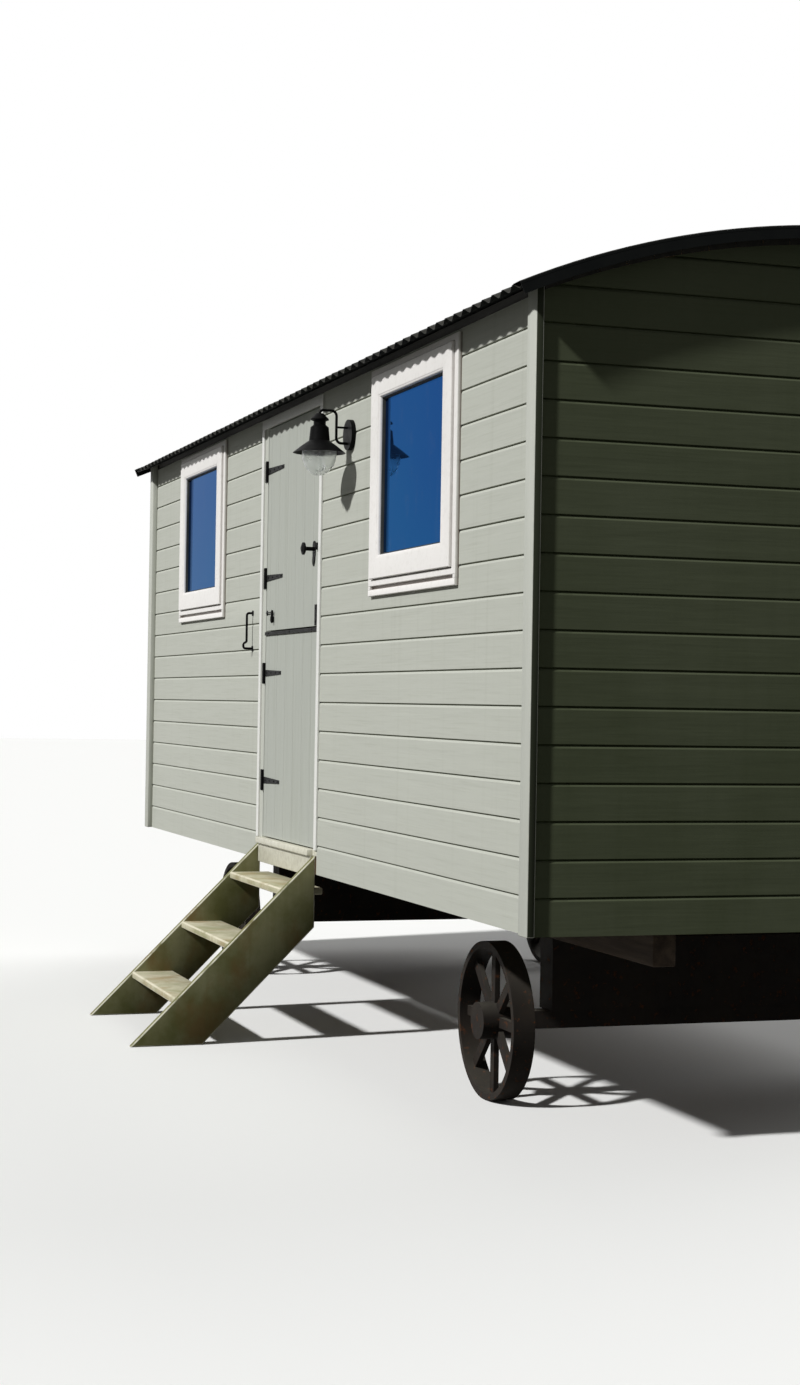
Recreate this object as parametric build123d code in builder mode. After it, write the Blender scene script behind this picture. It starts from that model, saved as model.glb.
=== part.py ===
from build123d import *
import os
from math import asin, cos, degrees, sin, sqrt

# A shepherd's hut on iron wheels, in millimetres.
# +Z is up, X runs along the hut and -Y is the side with the door.
# The origin is on the ground, in the middle of the rectangle that hut and steps cover.

# Body of the hut, over the faces of its boards
hut_length = 5400.0
hut_width = 2150.0
body_bottom = 650.0
wall = 110.0
floor_thickness = 95.0

# Curved roof
roof_crown = 2791.0
roof_radius = 2880.0
iron_depth = 21.0
iron_web = 4.0
corrugations = 67
roof_boards_thickness = 25.0
eave_overhang = 100.0
verge_overhang = 70.0

# Corner trims
trim_width = 70.0
trim_proud = 25.0
trim_past_end = 14.0

# Windows
window_off_middle = 13.0
window_width = 917.0
window_height = 814.0
window_under_eave = 12.5
window_lap = 15.0
window_proud = 14.0
window_depth = 55.0
casement_side_margin = 35.0
casement_top_margin = 25.0
casement_bottom_margin = 61.0
casement_proud = 10.0
casement_stile = 92.0
casement_rail = 84.0
glass_thickness = 20.0
glass_rebate = 12.0
glass_setback = 24.0
lip_height = 23.0
slot_height = 13.0
slot_depth = 12.0
slot_inset = 20.0

# Doorway, measured from the middle of the hut
doorway_half = 450.0
door_strip_face = 35.0
door_strip_lap = 10.0
door_strip_proud = 15.0
hinge_jamb_face = 75.0
latch_jamb_face = 25.0
door_head_height = 46.5
stop_lap = 20.0
stop_depth = 20.0

# Stable door, two leaves one above the other
leaf_thickness = 40.0
leaf_split_rise = 875.0
moving_gap = 6.0
hinge_gap = 2.5
latch_gap = 7.0

# Threshold
threshold_thickness = 25.0
threshold_nose = 25.0
riser_panel_thickness = 12.0
riser_panel_drop = 10.0

# Hinges
knuckle_radius = 6.0
pin_radius = 3.0
pin_clearance = 0.05
strap_thickness = 3.0
strap_length = 255.0
strap_root = 28.0
strap_tip = 14.0
tee_height = 88.0
tee_width = 36.0
knuckle_gap = 0.5
knuckle_reach = 6.5
bottom_leaf_hinge_above_edge = 237.0
bottom_leaf_hinge_below_edge = 174.0
top_leaf_hinge_above_edge = 224.0
top_leaf_hinge_below_edge = 178.0

# Door furniture on the top leaf
lock_from_edge = 63.0
lock_rise = 307.0
lock_plate_width = 36.0
lock_plate_height = 100.0
lock_plate_top = 32.0
lock_plate_shoulder = 20.0
lock_plate_thickness = 4.0
knob_radius = 24.5
knob_length = 20.0
knob_band = 7.0
knob_stem_radius = 8.0
knob_stand_off = 52.0
seat_gap = 0.3

# Lamp beside the door
lamp_from_strip = 366.0
lamp_rim_drop = 282.5
lamp_reach = 125.0
lamp_plate_radius = 57.0
lamp_plate_thickness = 17.0
lamp_plate_rise = 73.0
lamp_arm_radius = 5.0
lamp_arm_reach = 60.0
lamp_arm_low_rise = 40.0
lamp_arm_bend = 20.0
lamp_arm_hook = 12.7
lamp_link_rise = 99.0
lamp_link_radius = 4.0
shade_rim_radius = 98.0
shade_brim_radius = 68.0
shade_body_radius = 39.0
shade_shoulder_radius = 34.0
shade_neck_radius = 23.0
shade_cap_radius = 34.0
shade_crown_radius = 14.0
shade_brim_rise = 24.0
shade_body_rise = 45.0
shade_shoulder_rise = 95.0
shade_neck_slope = 9.0
shade_cap_rise = 126.0
shade_cap_height = 4.0
shade_crown_rise = 147.0
shade_wall = 3.0
bowl_depth = 84.0
bowl_wall = 3.0

# Grab handle left of the door
grab_from_strip = 135.0
grab_rise = 807.0
grab_height = 154.0
grab_reach = 28.0
grab_bulge = 42.0
grab_radius = 5.0
grab_bend = 10.0
grab_bulge_bend = 5.0
grab_bulge_top = 30.0
grab_bulge_bottom = 20.0
grab_foot_radius = 12.0
grab_foot_thickness = 4.0

# Steps
step_reach = 720.0
step_top_drop = 22.0
string_thickness = 32.0
string_set_in = 13.0
string_cut = 280.0
bottom_tread_height = 180.0
top_tread_drop = 150.0
tread_depth = 175.0
tread_thickness = 28.0
tread_nosing = 6.0

# Running gear under the floor
beam_height = 110.0
beam_width = 75.0
beam_spacing = 1200.0
wheel_radius = 265.0
wheel_width = 75.0
wheel_rim = 22.0
wheel_track = 1640.0
wheel_from_end = 950.0
hub_radius = 62.0
hub_length = 130.0
spoke_count = 8
spoke_width = 34.0
spoke_thickness = 18.0
axle_size = 60.0
axle_end_radius = 24.0
bolster_width = 110.0

# Places worked out from the sizes above
hut_middle_y = (step_reach - eave_overhang) / 2
front_y = hut_middle_y - hut_width / 2
back_y = hut_middle_y + hut_width / 2
end_x = hut_length / 2
inner_end_x = end_x - wall
floor_top = body_bottom + floor_thickness
roof_centre_z = roof_crown - roof_radius
iron_under = roof_radius - iron_depth
boards_over = iron_under - seat_gap
boards_under = boards_over - roof_boards_thickness
walls_over = boards_under - seat_gap
eave_z = roof_centre_z + sqrt(walls_over**2 - (hut_width / 2) ** 2)
window_middle_z = eave_z - window_under_eave - window_height / 2
aperture_width = window_width - 2 * window_lap
aperture_height = window_height - 2 * window_lap
casement_width = window_width - 2 * casement_side_margin
casement_height = window_height - casement_top_margin - casement_bottom_margin
casement_rise = (casement_bottom_margin - casement_top_margin) / 2
light_width = casement_width - 2 * casement_stile
light_height = casement_height - 2 * casement_rail
window_x = (doorway_half + end_x) / 2 - window_off_middle
strip_outer = doorway_half + door_strip_lap
strip_inner = strip_outer - door_strip_face
string_outer = doorway_half - string_set_in
string_inner = string_outer - string_thickness
hinge_jamb_x = -doorway_half + hinge_jamb_face
latch_jamb_x = doorway_half - latch_jamb_face
leaf_to_x = latch_jamb_x - latch_gap
lock_x = leaf_to_x - lock_from_edge
lamp_x = strip_outer + lamp_from_strip
grab_x = -strip_outer - grab_from_strip
door_head_bottom = eave_z - door_head_height
leaf_split = floor_top + leaf_split_rise
lock_z = leaf_split + lock_rise
lamp_rim_z = eave_z - lamp_rim_drop
grab_low = floor_top + grab_rise
grab_high = grab_low + grab_height
step_top = floor_top - step_top_drop
wheel_x = end_x - wheel_from_end

os.makedirs("parts", exist_ok=True)


def save(piece, name):
    """Label one finished piece and write it to its own file."""
    piece.label = name
    export_step(piece, "parts/" + name + ".step")


def arc_z(radius, y):
    """Height of a roof circle of this radius above a point across the hut."""
    return roof_centre_z + sqrt(radius**2 - (y - hut_middle_y) ** 2)


def arc_edge(radius, y_from, y_to):
    """The stretch of a roof circle between two points across the hut."""
    middle = (y_from + y_to) / 2
    ThreePointArc(
        (y_from, arc_z(radius, y_from)),
        (middle, arc_z(radius, middle)),
        (y_to, arc_z(radius, y_to)),
    )


def upright_outline(y_from, y_to, bottom, radius):
    """Lines across the hut round a wall or trim whose top follows the roof."""
    arc_edge(radius, y_from, y_to)
    Polyline(
        (y_from, arc_z(radius, y_from)),
        (y_from, bottom),
        (y_to, bottom),
        (y_to, arc_z(radius, y_to)),
    )


def side_plane(x, z, side):
    """A plane on the boards of one long side, its normal pointing out of the hut."""
    face_y = front_y if side == "front" else back_y
    outward = -1 if side == "front" else 1
    return Plane(origin=(x, face_y, z), x_dir=(-outward, 0, 0), z_dir=(0, outward, 0))


def long_wall(name, x_from, x_to, side, window_places):
    """A stretch of front or back wall with a hole for each window in it."""
    y_from, y_to = (front_y, front_y + wall) if side == "front" else (back_y - wall, back_y)
    with BuildPart() as slab:
        with BuildSketch(Plane.YZ.offset(x_from)):
            with BuildLine():
                upright_outline(y_from, y_to, body_bottom, walls_over)
            make_face()
        extrude(amount=x_to - x_from)
        for place in window_places:
            with BuildSketch(side_plane(place, window_middle_z, side)):
                Rectangle(aperture_width, aperture_height)
            extrude(amount=-wall, mode=Mode.SUBTRACT)
    save(slab.part, name)


def end_wall(name, x_from):
    """A plain end wall under the curve of the roof, between the two long walls."""
    with BuildPart() as slab:
        with BuildSketch(Plane.YZ.offset(x_from)):
            with BuildLine():
                upright_outline(front_y + wall, back_y - wall, body_bottom, walls_over)
            make_face()
        extrude(amount=wall)
    save(slab.part, name)


# Floor, with the tongue that carries the threshold in the doorway
with BuildPart() as floor_slab:
    with BuildSketch(Plane.XY.offset(body_bottom)):
        with Locations((0, hut_middle_y)):
            Rectangle(hut_length - 2 * wall, hut_width - 2 * wall)
    extrude(amount=floor_thickness)
    with BuildSketch(Plane.XY.offset(body_bottom)):
        with Locations((0, front_y + wall / 2)):
            Rectangle(2 * doorway_half, wall)
    extrude(amount=floor_thickness - threshold_thickness)
save(floor_slab.part, "floor")

# Walls, the front one split by the doorway
long_wall("front_wall_left", -end_x, -doorway_half, "front", [-window_x])
long_wall("front_wall_right", doorway_half, end_x, "front", [window_x])
long_wall("back_wall", -end_x, end_x, "back", [-window_x, window_x])
end_wall("far_end_wall", -end_x)
end_wall("near_end_wall", inner_end_x)

# Curved roof boards, flush with the walls
with BuildPart() as roof_boards:
    with BuildSketch(Plane.YZ.offset(-end_x)):
        with BuildLine():
            arc_edge(boards_over, front_y, back_y)
            Line((front_y, arc_z(boards_over, front_y)), (front_y, arc_z(boards_under, front_y)))
            arc_edge(boards_under, front_y, back_y)
            Line((back_y, arc_z(boards_under, back_y)), (back_y, arc_z(boards_over, back_y)))
        make_face()
    extrude(amount=hut_length)
save(roof_boards.part, "roof_boards")

# Curved corrugated iron, smooth underneath where it rests on the boards
iron_x = end_x + verge_overhang
wave_length = 2 * iron_x / corrugations
wave_swing = (iron_depth - iron_web) / 2
wave_middle = roof_radius - wave_swing
eave_angle = asin((hut_width / 2 + eave_overhang) / roof_radius)
roof_centre = (0, hut_middle_y, roof_centre_z)
eave_edge = Plane(
    origin=roof_centre,
    x_dir=(1, 0, 0),
    z_dir=(0, -cos(eave_angle), -sin(eave_angle)),
)
with BuildPart() as roof_iron:
    with BuildSketch(eave_edge):
        with BuildLine():
            for half_wave in range(2 * corrugations):
                x_from = -iron_x + half_wave * wave_length / 2
                swing = wave_swing if half_wave % 2 == 0 else -wave_swing
                ThreePointArc(
                    (x_from, wave_middle),
                    (x_from + wave_length / 4, wave_middle + swing),
                    (x_from + wave_length / 2, wave_middle),
                )
            Polyline(
                (iron_x, wave_middle),
                (iron_x, iron_under),
                (-iron_x, iron_under),
                (-iron_x, wave_middle),
            )
        make_face()
    revolve(axis=Axis(roof_centre, (-1, 0, 0)), revolution_arc=2 * degrees(eave_angle))
save(roof_iron.part, "roof_iron")


def corner_trim(name, x_from, y_from):
    """A flat board on the face of a long wall, standing a little past the end boards."""
    with BuildPart() as trim:
        with BuildSketch(Plane.YZ.offset(x_from)):
            with BuildLine():
                upright_outline(y_from, y_from + trim_proud, body_bottom, iron_under - seat_gap)
            make_face()
        extrude(amount=trim_width)
    save(trim.part, name)


near_trim_x = end_x + trim_past_end - trim_width
far_trim_x = -end_x - trim_past_end
corner_trim("corner_trim_front_left", far_trim_x, front_y - trim_proud)
corner_trim("corner_trim_front_right", near_trim_x, front_y - trim_proud)
corner_trim("corner_trim_back_left", far_trim_x, back_y)
corner_trim("corner_trim_back_right", near_trim_x, back_y)


def window(name, x, side):
    """Frame and its proud casement as one joined piece, and the glass that sits in its rebate."""
    face = side_plane(x, window_middle_z, side)
    casement_front = window_proud + casement_proud
    glass_front = casement_front - glass_setback
    slot_y = lip_height + (slot_height - window_height) / 2
    with BuildPart() as frame:
        with BuildSketch(face.offset(-window_depth)):
            Rectangle(aperture_width - 2 * seat_gap, aperture_height - 2 * seat_gap)
        extrude(amount=window_depth)
        with BuildSketch(face):
            Rectangle(window_width, window_height)
        extrude(amount=window_proud)
        with BuildSketch(face.offset(window_proud)):
            with Locations((0, casement_rise)):
                Rectangle(casement_width, casement_height)
        extrude(amount=casement_proud)
        with BuildSketch(face.offset(window_proud)):
            with Locations((0, slot_y)):
                Rectangle(window_width - 2 * slot_inset, slot_height)
        extrude(amount=-slot_depth, mode=Mode.SUBTRACT)
        with BuildSketch(face.offset(-window_depth)):
            with Locations((0, casement_rise)):
                Rectangle(light_width, light_height)
        extrude(amount=window_depth + casement_front, mode=Mode.SUBTRACT)
        with BuildSketch(face.offset(glass_front + seat_gap)):
            with Locations((0, casement_rise)):
                Rectangle(
                    light_width + 2 * (glass_rebate + seat_gap),
                    light_height + 2 * (glass_rebate + seat_gap),
                )
        extrude(amount=-glass_thickness - 2 * seat_gap, mode=Mode.SUBTRACT)
    save(frame.part, name + "_window_frame")

    with BuildPart() as glass:
        with BuildSketch(face.offset(glass_front)):
            with Locations((0, casement_rise)):
                Rectangle(light_width + 2 * glass_rebate, light_height + 2 * glass_rebate)
        extrude(amount=-glass_thickness)
    save(glass.part, name + "_window_glass")


window("front_left", -window_x, "front")
window("front_right", window_x, "front")
window("back_left", -window_x, "back")
window("back_right", window_x, "back")

# Door frame: two jambs and a head, with a strip proud of the boards and a stop behind the door
stop_front_y = front_y + leaf_thickness + moving_gap
frame_under = walls_over
with BuildPart() as door_frame:
    for x_from, x_to in ((-doorway_half, hinge_jamb_x), (latch_jamb_x, doorway_half)):
        with BuildSketch(Plane.YZ.offset(x_from)):
            with BuildLine():
                upright_outline(front_y, front_y + wall, floor_top, frame_under)
            make_face()
        extrude(amount=x_to - x_from)
    with BuildSketch(Plane.YZ.offset(hinge_jamb_x)):
        with BuildLine():
            upright_outline(front_y, front_y + wall, door_head_bottom, frame_under)
        make_face()
    extrude(amount=latch_jamb_x - hinge_jamb_x)
    for x_from in (-strip_outer, strip_inner):
        with BuildSketch(Plane.YZ.offset(x_from)):
            with BuildLine():
                upright_outline(front_y - door_strip_proud, front_y, floor_top, frame_under)
            make_face()
        extrude(amount=door_strip_face)
    with BuildSketch(Plane.YZ.offset(-strip_inner)):
        with BuildLine():
            upright_outline(front_y - door_strip_proud, front_y, door_head_bottom, frame_under)
        make_face()
    extrude(amount=2 * strip_inner)
    for x_from in (hinge_jamb_x, latch_jamb_x - stop_lap):
        with BuildSketch(Plane.XY.offset(floor_top)):
            with Locations((x_from + stop_lap / 2, stop_front_y + stop_depth / 2)):
                Rectangle(stop_lap, stop_depth)
        extrude(amount=door_head_bottom - floor_top)
    with BuildSketch(Plane.XY.offset(door_head_bottom - stop_lap)):
        with Locations(((hinge_jamb_x + latch_jamb_x) / 2, stop_front_y + stop_depth / 2)):
            Rectangle(latch_jamb_x - hinge_jamb_x, stop_depth)
    extrude(amount=stop_lap)
save(door_frame.part, "door_frame")

# Threshold with its nose, and the pale panel that covers the floor's edge below it
with BuildPart() as door_sill:
    with BuildSketch(Plane.XY.offset(floor_top - threshold_thickness)):
        with Locations((0, front_y + wall / 2)):
            Rectangle(2 * doorway_half, wall)
    extrude(amount=threshold_thickness)
    with BuildSketch(Plane.XY.offset(floor_top - threshold_thickness)):
        with Locations((0, front_y - threshold_nose / 2)):
            Rectangle(2 * string_inner - 2 * moving_gap, threshold_nose)
    extrude(amount=threshold_thickness)
    with BuildSketch(Plane.XY.offset(body_bottom - riser_panel_drop)):
        with Locations((0, front_y - riser_panel_thickness / 2)):
            Rectangle(2 * string_inner - 2 * moving_gap, riser_panel_thickness)
    extrude(amount=floor_thickness + riser_panel_drop - threshold_thickness)
save(door_sill.part, "door_sill")

# The two leaves of the stable door
hinge_x = hinge_jamb_x + hinge_gap
hinge_y = front_y - knuckle_radius
leaf_from_x = hinge_x + hinge_gap
leaf_width = leaf_to_x - leaf_from_x
leaf_middle_x = (leaf_from_x + leaf_to_x) / 2


def door_leaf(name, bottom, top):
    """One flat leaf of the door, its outer face level with the boards."""
    with BuildPart() as leaf:
        with BuildSketch(Plane.XY.offset(bottom)):
            with Locations((leaf_middle_x, front_y + leaf_thickness / 2)):
                Rectangle(leaf_width, leaf_thickness)
        extrude(amount=top - bottom)
    save(leaf.part, name)


bottom_leaf_from = floor_top + moving_gap
bottom_leaf_to = leaf_split - moving_gap / 2
top_leaf_from = leaf_split + moving_gap / 2
top_leaf_to = door_head_bottom - moving_gap
door_leaf("door_bottom_leaf", bottom_leaf_from, bottom_leaf_to)
door_leaf("door_top_leaf", top_leaf_from, top_leaf_to)

# Fixed halves of the T-hinges: a plate on the jamb, two knuckles and the pin through them
bottom_leaf_hinges = [
    bottom_leaf_from + bottom_leaf_hinge_above_edge,
    bottom_leaf_to - bottom_leaf_hinge_below_edge,
]
top_leaf_hinges = [
    top_leaf_from + top_leaf_hinge_above_edge,
    top_leaf_to - top_leaf_hinge_below_edge,
]
knuckle_height = (tee_height - strap_root) / 2 - knuckle_gap
with BuildPart() as hinge_plates:
    for height in bottom_leaf_hinges + top_leaf_hinges:
        with BuildSketch(Plane.XY.offset(height - tee_height / 2)):
            with Locations((hinge_x - knuckle_reach - tee_width / 2, front_y - strap_thickness / 2)):
                Rectangle(tee_width, strap_thickness)
        extrude(amount=tee_height)
        for bottom in (height - tee_height / 2, height + tee_height / 2 - knuckle_height):
            with BuildSketch(Plane.XY.offset(bottom)):
                with Locations((hinge_x, hinge_y)):
                    Circle(knuckle_radius)
                with Locations((hinge_x - knuckle_reach / 2, front_y - strap_thickness / 2)):
                    Rectangle(knuckle_reach, strap_thickness)
            extrude(amount=knuckle_height)
        with BuildSketch(Plane.XY.offset(height - tee_height / 2)):
            with Locations((hinge_x, hinge_y)):
                Circle(pin_radius)
        extrude(amount=tee_height)
save(hinge_plates.part, "hinge_plates")


def hinge_straps(name, heights):
    """The moving halves: a tapered strap on the leaf and the knuckle that turns on the pin."""
    with BuildPart() as straps:
        for height in heights:
            with BuildSketch(Plane.XZ.offset(-front_y)):
                with BuildLine():
                    Polyline(
                        (hinge_x, height - strap_root / 2),
                        (hinge_x + strap_length, height - strap_tip / 2),
                        (hinge_x + strap_length, height + strap_tip / 2),
                        (hinge_x, height + strap_root / 2),
                        (hinge_x, height - strap_root / 2),
                    )
                make_face()
            extrude(amount=strap_thickness)
            with BuildSketch(Plane.XY.offset(height - strap_root / 2)):
                with Locations((hinge_x, hinge_y)):
                    Circle(knuckle_radius)
            extrude(amount=strap_root)
            with BuildSketch(Plane.XY.offset(height - strap_root / 2)):
                with Locations((hinge_x, hinge_y)):
                    Circle(pin_radius + pin_clearance)
            extrude(amount=strap_root, mode=Mode.SUBTRACT)
    save(straps.part, name)


hinge_straps("bottom_leaf_hinges", bottom_leaf_hinges)
hinge_straps("top_leaf_hinges", top_leaf_hinges)

# Lock plate on the top leaf, round above the knob and drawn to a point below it
plate_round_z = lock_z + lock_plate_top - lock_plate_width / 2
with BuildPart() as lock_plate:
    with BuildSketch(Plane.XZ.offset(-front_y)):
        with BuildLine():
            ThreePointArc(
                (lock_x - lock_plate_width / 2, plate_round_z),
                (lock_x, lock_z + lock_plate_top),
                (lock_x + lock_plate_width / 2, plate_round_z),
            )
            Polyline(
                (lock_x + lock_plate_width / 2, plate_round_z),
                (lock_x + lock_plate_width / 2, lock_z - lock_plate_shoulder),
                (lock_x, lock_z + lock_plate_top - lock_plate_height),
                (lock_x - lock_plate_width / 2, lock_z - lock_plate_shoulder),
                (lock_x - lock_plate_width / 2, plate_round_z),
            )
        make_face()
    extrude(amount=lock_plate_thickness)
save(lock_plate.part, "lock_plate")

# Round knob on its stem, turned about the axis that points out of the door
plate_face_y = front_y - lock_plate_thickness - seat_gap
knob_back = -knob_stand_off + knob_length
knob_edge_middle = -knob_stand_off + knob_length / 2
with BuildPart() as door_knob:
    with BuildSketch(Plane(origin=(lock_x, plate_face_y, lock_z), x_dir=(1, 0, 0), z_dir=(0, 0, 1))):
        with BuildLine():
            Polyline(
                (0, 0),
                (knob_stem_radius, 0),
                (knob_stem_radius, knob_back),
                (knob_radius, knob_edge_middle + knob_band / 2),
                (knob_radius, knob_edge_middle - knob_band / 2),
                (knob_stem_radius, -knob_stand_off),
                (0, -knob_stand_off),
                (0, 0),
            )
        make_face()
    revolve(axis=Axis((lock_x, plate_face_y, lock_z), (0, 1, 0)))
save(door_knob.part, "door_knob")

# Lamp bracket: a round plate, a rod that leaves its foot, rises and bends over to the lamp, and a link
lamp_y = front_y - lamp_reach
plate_front_y = front_y - lamp_plate_thickness
arm_y = front_y - lamp_arm_reach
arm_low_z = lamp_rim_z + lamp_arm_low_rise
arm_end_z = lamp_rim_z + shade_crown_rise
arm_top_z = arm_end_z + lamp_arm_hook + seat_gap
link_z = lamp_rim_z + lamp_link_rise
with BuildPart() as lamp_bracket:
    with BuildSketch(Plane.XZ.offset(-front_y)):
        with Locations((lamp_x, lamp_rim_z + lamp_plate_rise)):
            Circle(lamp_plate_radius)
    extrude(amount=lamp_plate_thickness)
    with BuildLine():
        FilletPolyline(
            (lamp_x, plate_front_y, arm_low_z),
            (lamp_x, arm_y, arm_low_z),
            (lamp_x, arm_y, arm_top_z),
            (lamp_x, lamp_y, arm_top_z),
            (lamp_x, lamp_y, arm_end_z),
            radius=[lamp_arm_bend, lamp_arm_bend, lamp_arm_hook],
        )
    with BuildSketch(Plane(origin=(lamp_x, plate_front_y, arm_low_z), z_dir=(0, -1, 0))):
        Circle(lamp_arm_radius)
    sweep()
    with BuildSketch(Plane(origin=(lamp_x, plate_front_y, link_z), z_dir=(0, -1, 0))):
        Circle(lamp_link_radius)
    extrude(amount=plate_front_y - arm_y)
save(lamp_bracket.part, "lamp_bracket")

# Lamp shade, turned about a vertical axis and hollow underneath
shade_outline = [
    (shade_rim_radius, 0),
    (shade_brim_radius, shade_brim_rise),
    (shade_body_radius, shade_body_rise),
    (shade_shoulder_radius, shade_shoulder_rise),
    (shade_neck_radius, shade_shoulder_rise + shade_neck_slope),
    (shade_neck_radius, shade_cap_rise - shade_cap_height - shade_neck_slope / 2),
    (shade_cap_radius, shade_cap_rise - shade_cap_height),
    (shade_cap_radius, shade_cap_rise),
    (shade_crown_radius, shade_crown_rise - seat_gap),
    (0, shade_crown_rise - seat_gap),
]
shade_hollow = [
    (0, shade_shoulder_rise - shade_wall),
    (shade_shoulder_radius - shade_wall, shade_shoulder_rise - shade_wall),
    (shade_body_radius - shade_wall, shade_body_rise),
    (shade_brim_radius - shade_wall, shade_brim_rise - shade_wall),
    (shade_rim_radius - shade_wall, 0),
]
with BuildPart() as lamp_shade:
    with BuildSketch(Plane(origin=(lamp_x, lamp_y, lamp_rim_z), x_dir=(1, 0, 0), z_dir=(0, -1, 0))):
        with BuildLine():
            Polyline(*shade_outline, *shade_hollow, close=True)
        make_face()
    revolve(axis=Axis((lamp_x, lamp_y, lamp_rim_z), (0, 0, 1)))
save(lamp_shade.part, "lamp_shade")

# Glass bowl that hangs inside the rim
bowl_top_z = lamp_rim_z + shade_brim_rise - shade_wall - seat_gap
bowl_collar = bowl_top_z - lamp_rim_z
bowl_radius = shade_brim_radius - shade_wall - seat_gap
with BuildPart() as lamp_glass:
    with BuildSketch(Plane(origin=(lamp_x, lamp_y, lamp_rim_z), x_dir=(1, 0, 0), z_dir=(0, -1, 0))):
        with BuildLine():
            EllipticalCenterArc((0, 0), bowl_radius, bowl_depth, 0, arc_size=-90)
            Polyline(
                (bowl_radius, 0),
                (bowl_radius, bowl_collar),
                (bowl_radius - bowl_wall, bowl_collar),
                (bowl_radius - bowl_wall, 0),
            )
            EllipticalCenterArc((0, 0), bowl_radius - bowl_wall, bowl_depth - bowl_wall, 0, arc_size=-90)
            Line((0, -bowl_depth), (0, bowl_wall - bowl_depth))
        make_face()
    revolve(axis=Axis((lamp_x, lamp_y, lamp_rim_z), (0, 0, 1)))
save(lamp_glass.part, "lamp_glass")

# Grab handle, a bent rod between two small round feet
with BuildPart() as grab_handle:
    with BuildLine():
        FilletPolyline(
            (grab_x, front_y, grab_high),
            (grab_x, front_y - grab_reach, grab_high),
            (grab_x, front_y - grab_reach, grab_low + grab_bulge_top),
            (grab_x, front_y - grab_bulge, grab_low + grab_bulge_bottom),
            (grab_x, front_y - grab_bulge, grab_low),
            (grab_x, front_y, grab_low),
            radius=[grab_bend, grab_bulge_bend, grab_bulge_bend, grab_bend],
        )
    with BuildSketch(Plane(origin=(grab_x, front_y, grab_high), z_dir=(0, -1, 0))):
        Circle(grab_radius)
    sweep()
    for height in (grab_low, grab_high):
        with BuildSketch(Plane.XZ.offset(-front_y)):
            with Locations((grab_x, height)):
                Circle(grab_foot_radius)
        extrude(amount=grab_foot_thickness)
save(grab_handle.part, "grab_handle")


def step_string(name, x_from):
    """A deep side board, cut flat on the ground and upright against the hut."""
    wall_foot_z = step_top - string_cut
    with BuildPart() as string:
        with BuildSketch(Plane.YZ.offset(x_from)):
            with BuildLine():
                Polyline(
                    (front_y, step_top),
                    (front_y - step_reach, 0),
                    (front_y - step_reach + string_cut, 0),
                    (front_y, wall_foot_z),
                    close=True,
                )
            make_face()
        extrude(amount=string_thickness)
    save(string.part, name)


step_string("step_string_left", -string_outer)
step_string("step_string_right", string_inner)


def tread(name, height):
    """A level board between the strings, its front edge on their sloping edge."""
    front_edge = front_y - step_reach * (step_top - height) / step_top - tread_nosing
    with BuildPart() as board:
        with BuildSketch(Plane.XY.offset(height - tread_thickness)):
            with Locations((0, front_edge + tread_depth / 2)):
                Rectangle(2 * string_inner, tread_depth)
        extrude(amount=tread_thickness)
    save(board.part, name)


top_tread_height = floor_top - top_tread_drop
tread("bottom_tread", bottom_tread_height)
tread("middle_tread", (bottom_tread_height + top_tread_height) / 2)
tread("top_tread", top_tread_height)


def floor_beam(name, y):
    """A timber bearer under the floor, running the length of the room."""
    with BuildPart() as beam:
        with BuildSketch(Plane.YZ.offset(-inner_end_x)):
            with Locations((y, body_bottom - beam_height / 2)):
                Rectangle(beam_width, beam_height)
        extrude(amount=2 * inner_end_x)
    save(beam.part, name)


floor_beam("front_floor_beam", hut_middle_y - beam_spacing / 2)
floor_beam("back_floor_beam", hut_middle_y + beam_spacing / 2)

beam_under = body_bottom - beam_height
hub_inner = (wheel_track - hub_length) / 2


def axle(name, x):
    """An axle bar with round ends, and the timber bolster that the floor beams stand on."""
    with BuildPart() as bar:
        with BuildSketch(Plane.XZ.offset(-hut_middle_y + hub_inner)):
            with Locations((x, wheel_radius)):
                Rectangle(axle_size, axle_size)
        extrude(amount=-2 * hub_inner)
        with BuildSketch(Plane.XZ.offset(-hut_middle_y + hub_inner + hub_length)):
            with Locations((x, wheel_radius)):
                Circle(axle_end_radius)
        extrude(amount=-2 * hub_inner - 2 * hub_length)
        with BuildSketch(Plane.XY.offset(wheel_radius + axle_size / 2)):
            with Locations((x, hut_middle_y)):
                Rectangle(bolster_width, beam_spacing + beam_width)
        extrude(amount=beam_under - wheel_radius - axle_size / 2)
    save(bar.part, name)


axle("far_axle", -wheel_x)
axle("near_axle", wheel_x)


def wheel(name, x, y):
    """A spoked iron wheel standing on the ground, its hub bored for the axle's end."""
    face = Plane(origin=(x, y, wheel_radius), x_dir=(1, 0, 0), z_dir=(0, -1, 0))
    with BuildPart() as iron:
        with BuildSketch(face.offset(-wheel_width / 2)):
            Circle(wheel_radius)
            Circle(wheel_radius - wheel_rim, mode=Mode.SUBTRACT)
        extrude(amount=wheel_width)
        with BuildSketch(face.offset(-spoke_thickness / 2)):
            with PolarLocations(wheel_radius / 2, spoke_count):
                Rectangle(wheel_radius - wheel_rim, spoke_width)
        extrude(amount=spoke_thickness)
        with BuildSketch(face.offset(-hub_length / 2)):
            Circle(hub_radius)
        extrude(amount=hub_length)
        with BuildSketch(face.offset(-hub_length / 2)):
            Circle(axle_end_radius + seat_gap)
        extrude(amount=hub_length, mode=Mode.SUBTRACT)
    save(iron.part, name)


for end_name, x in (("far", -wheel_x), ("near", wheel_x)):
    wheel(end_name + "_front_wheel", x, hut_middle_y - wheel_track / 2)
    wheel(end_name + "_back_wheel", x, hut_middle_y + wheel_track / 2)

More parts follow.
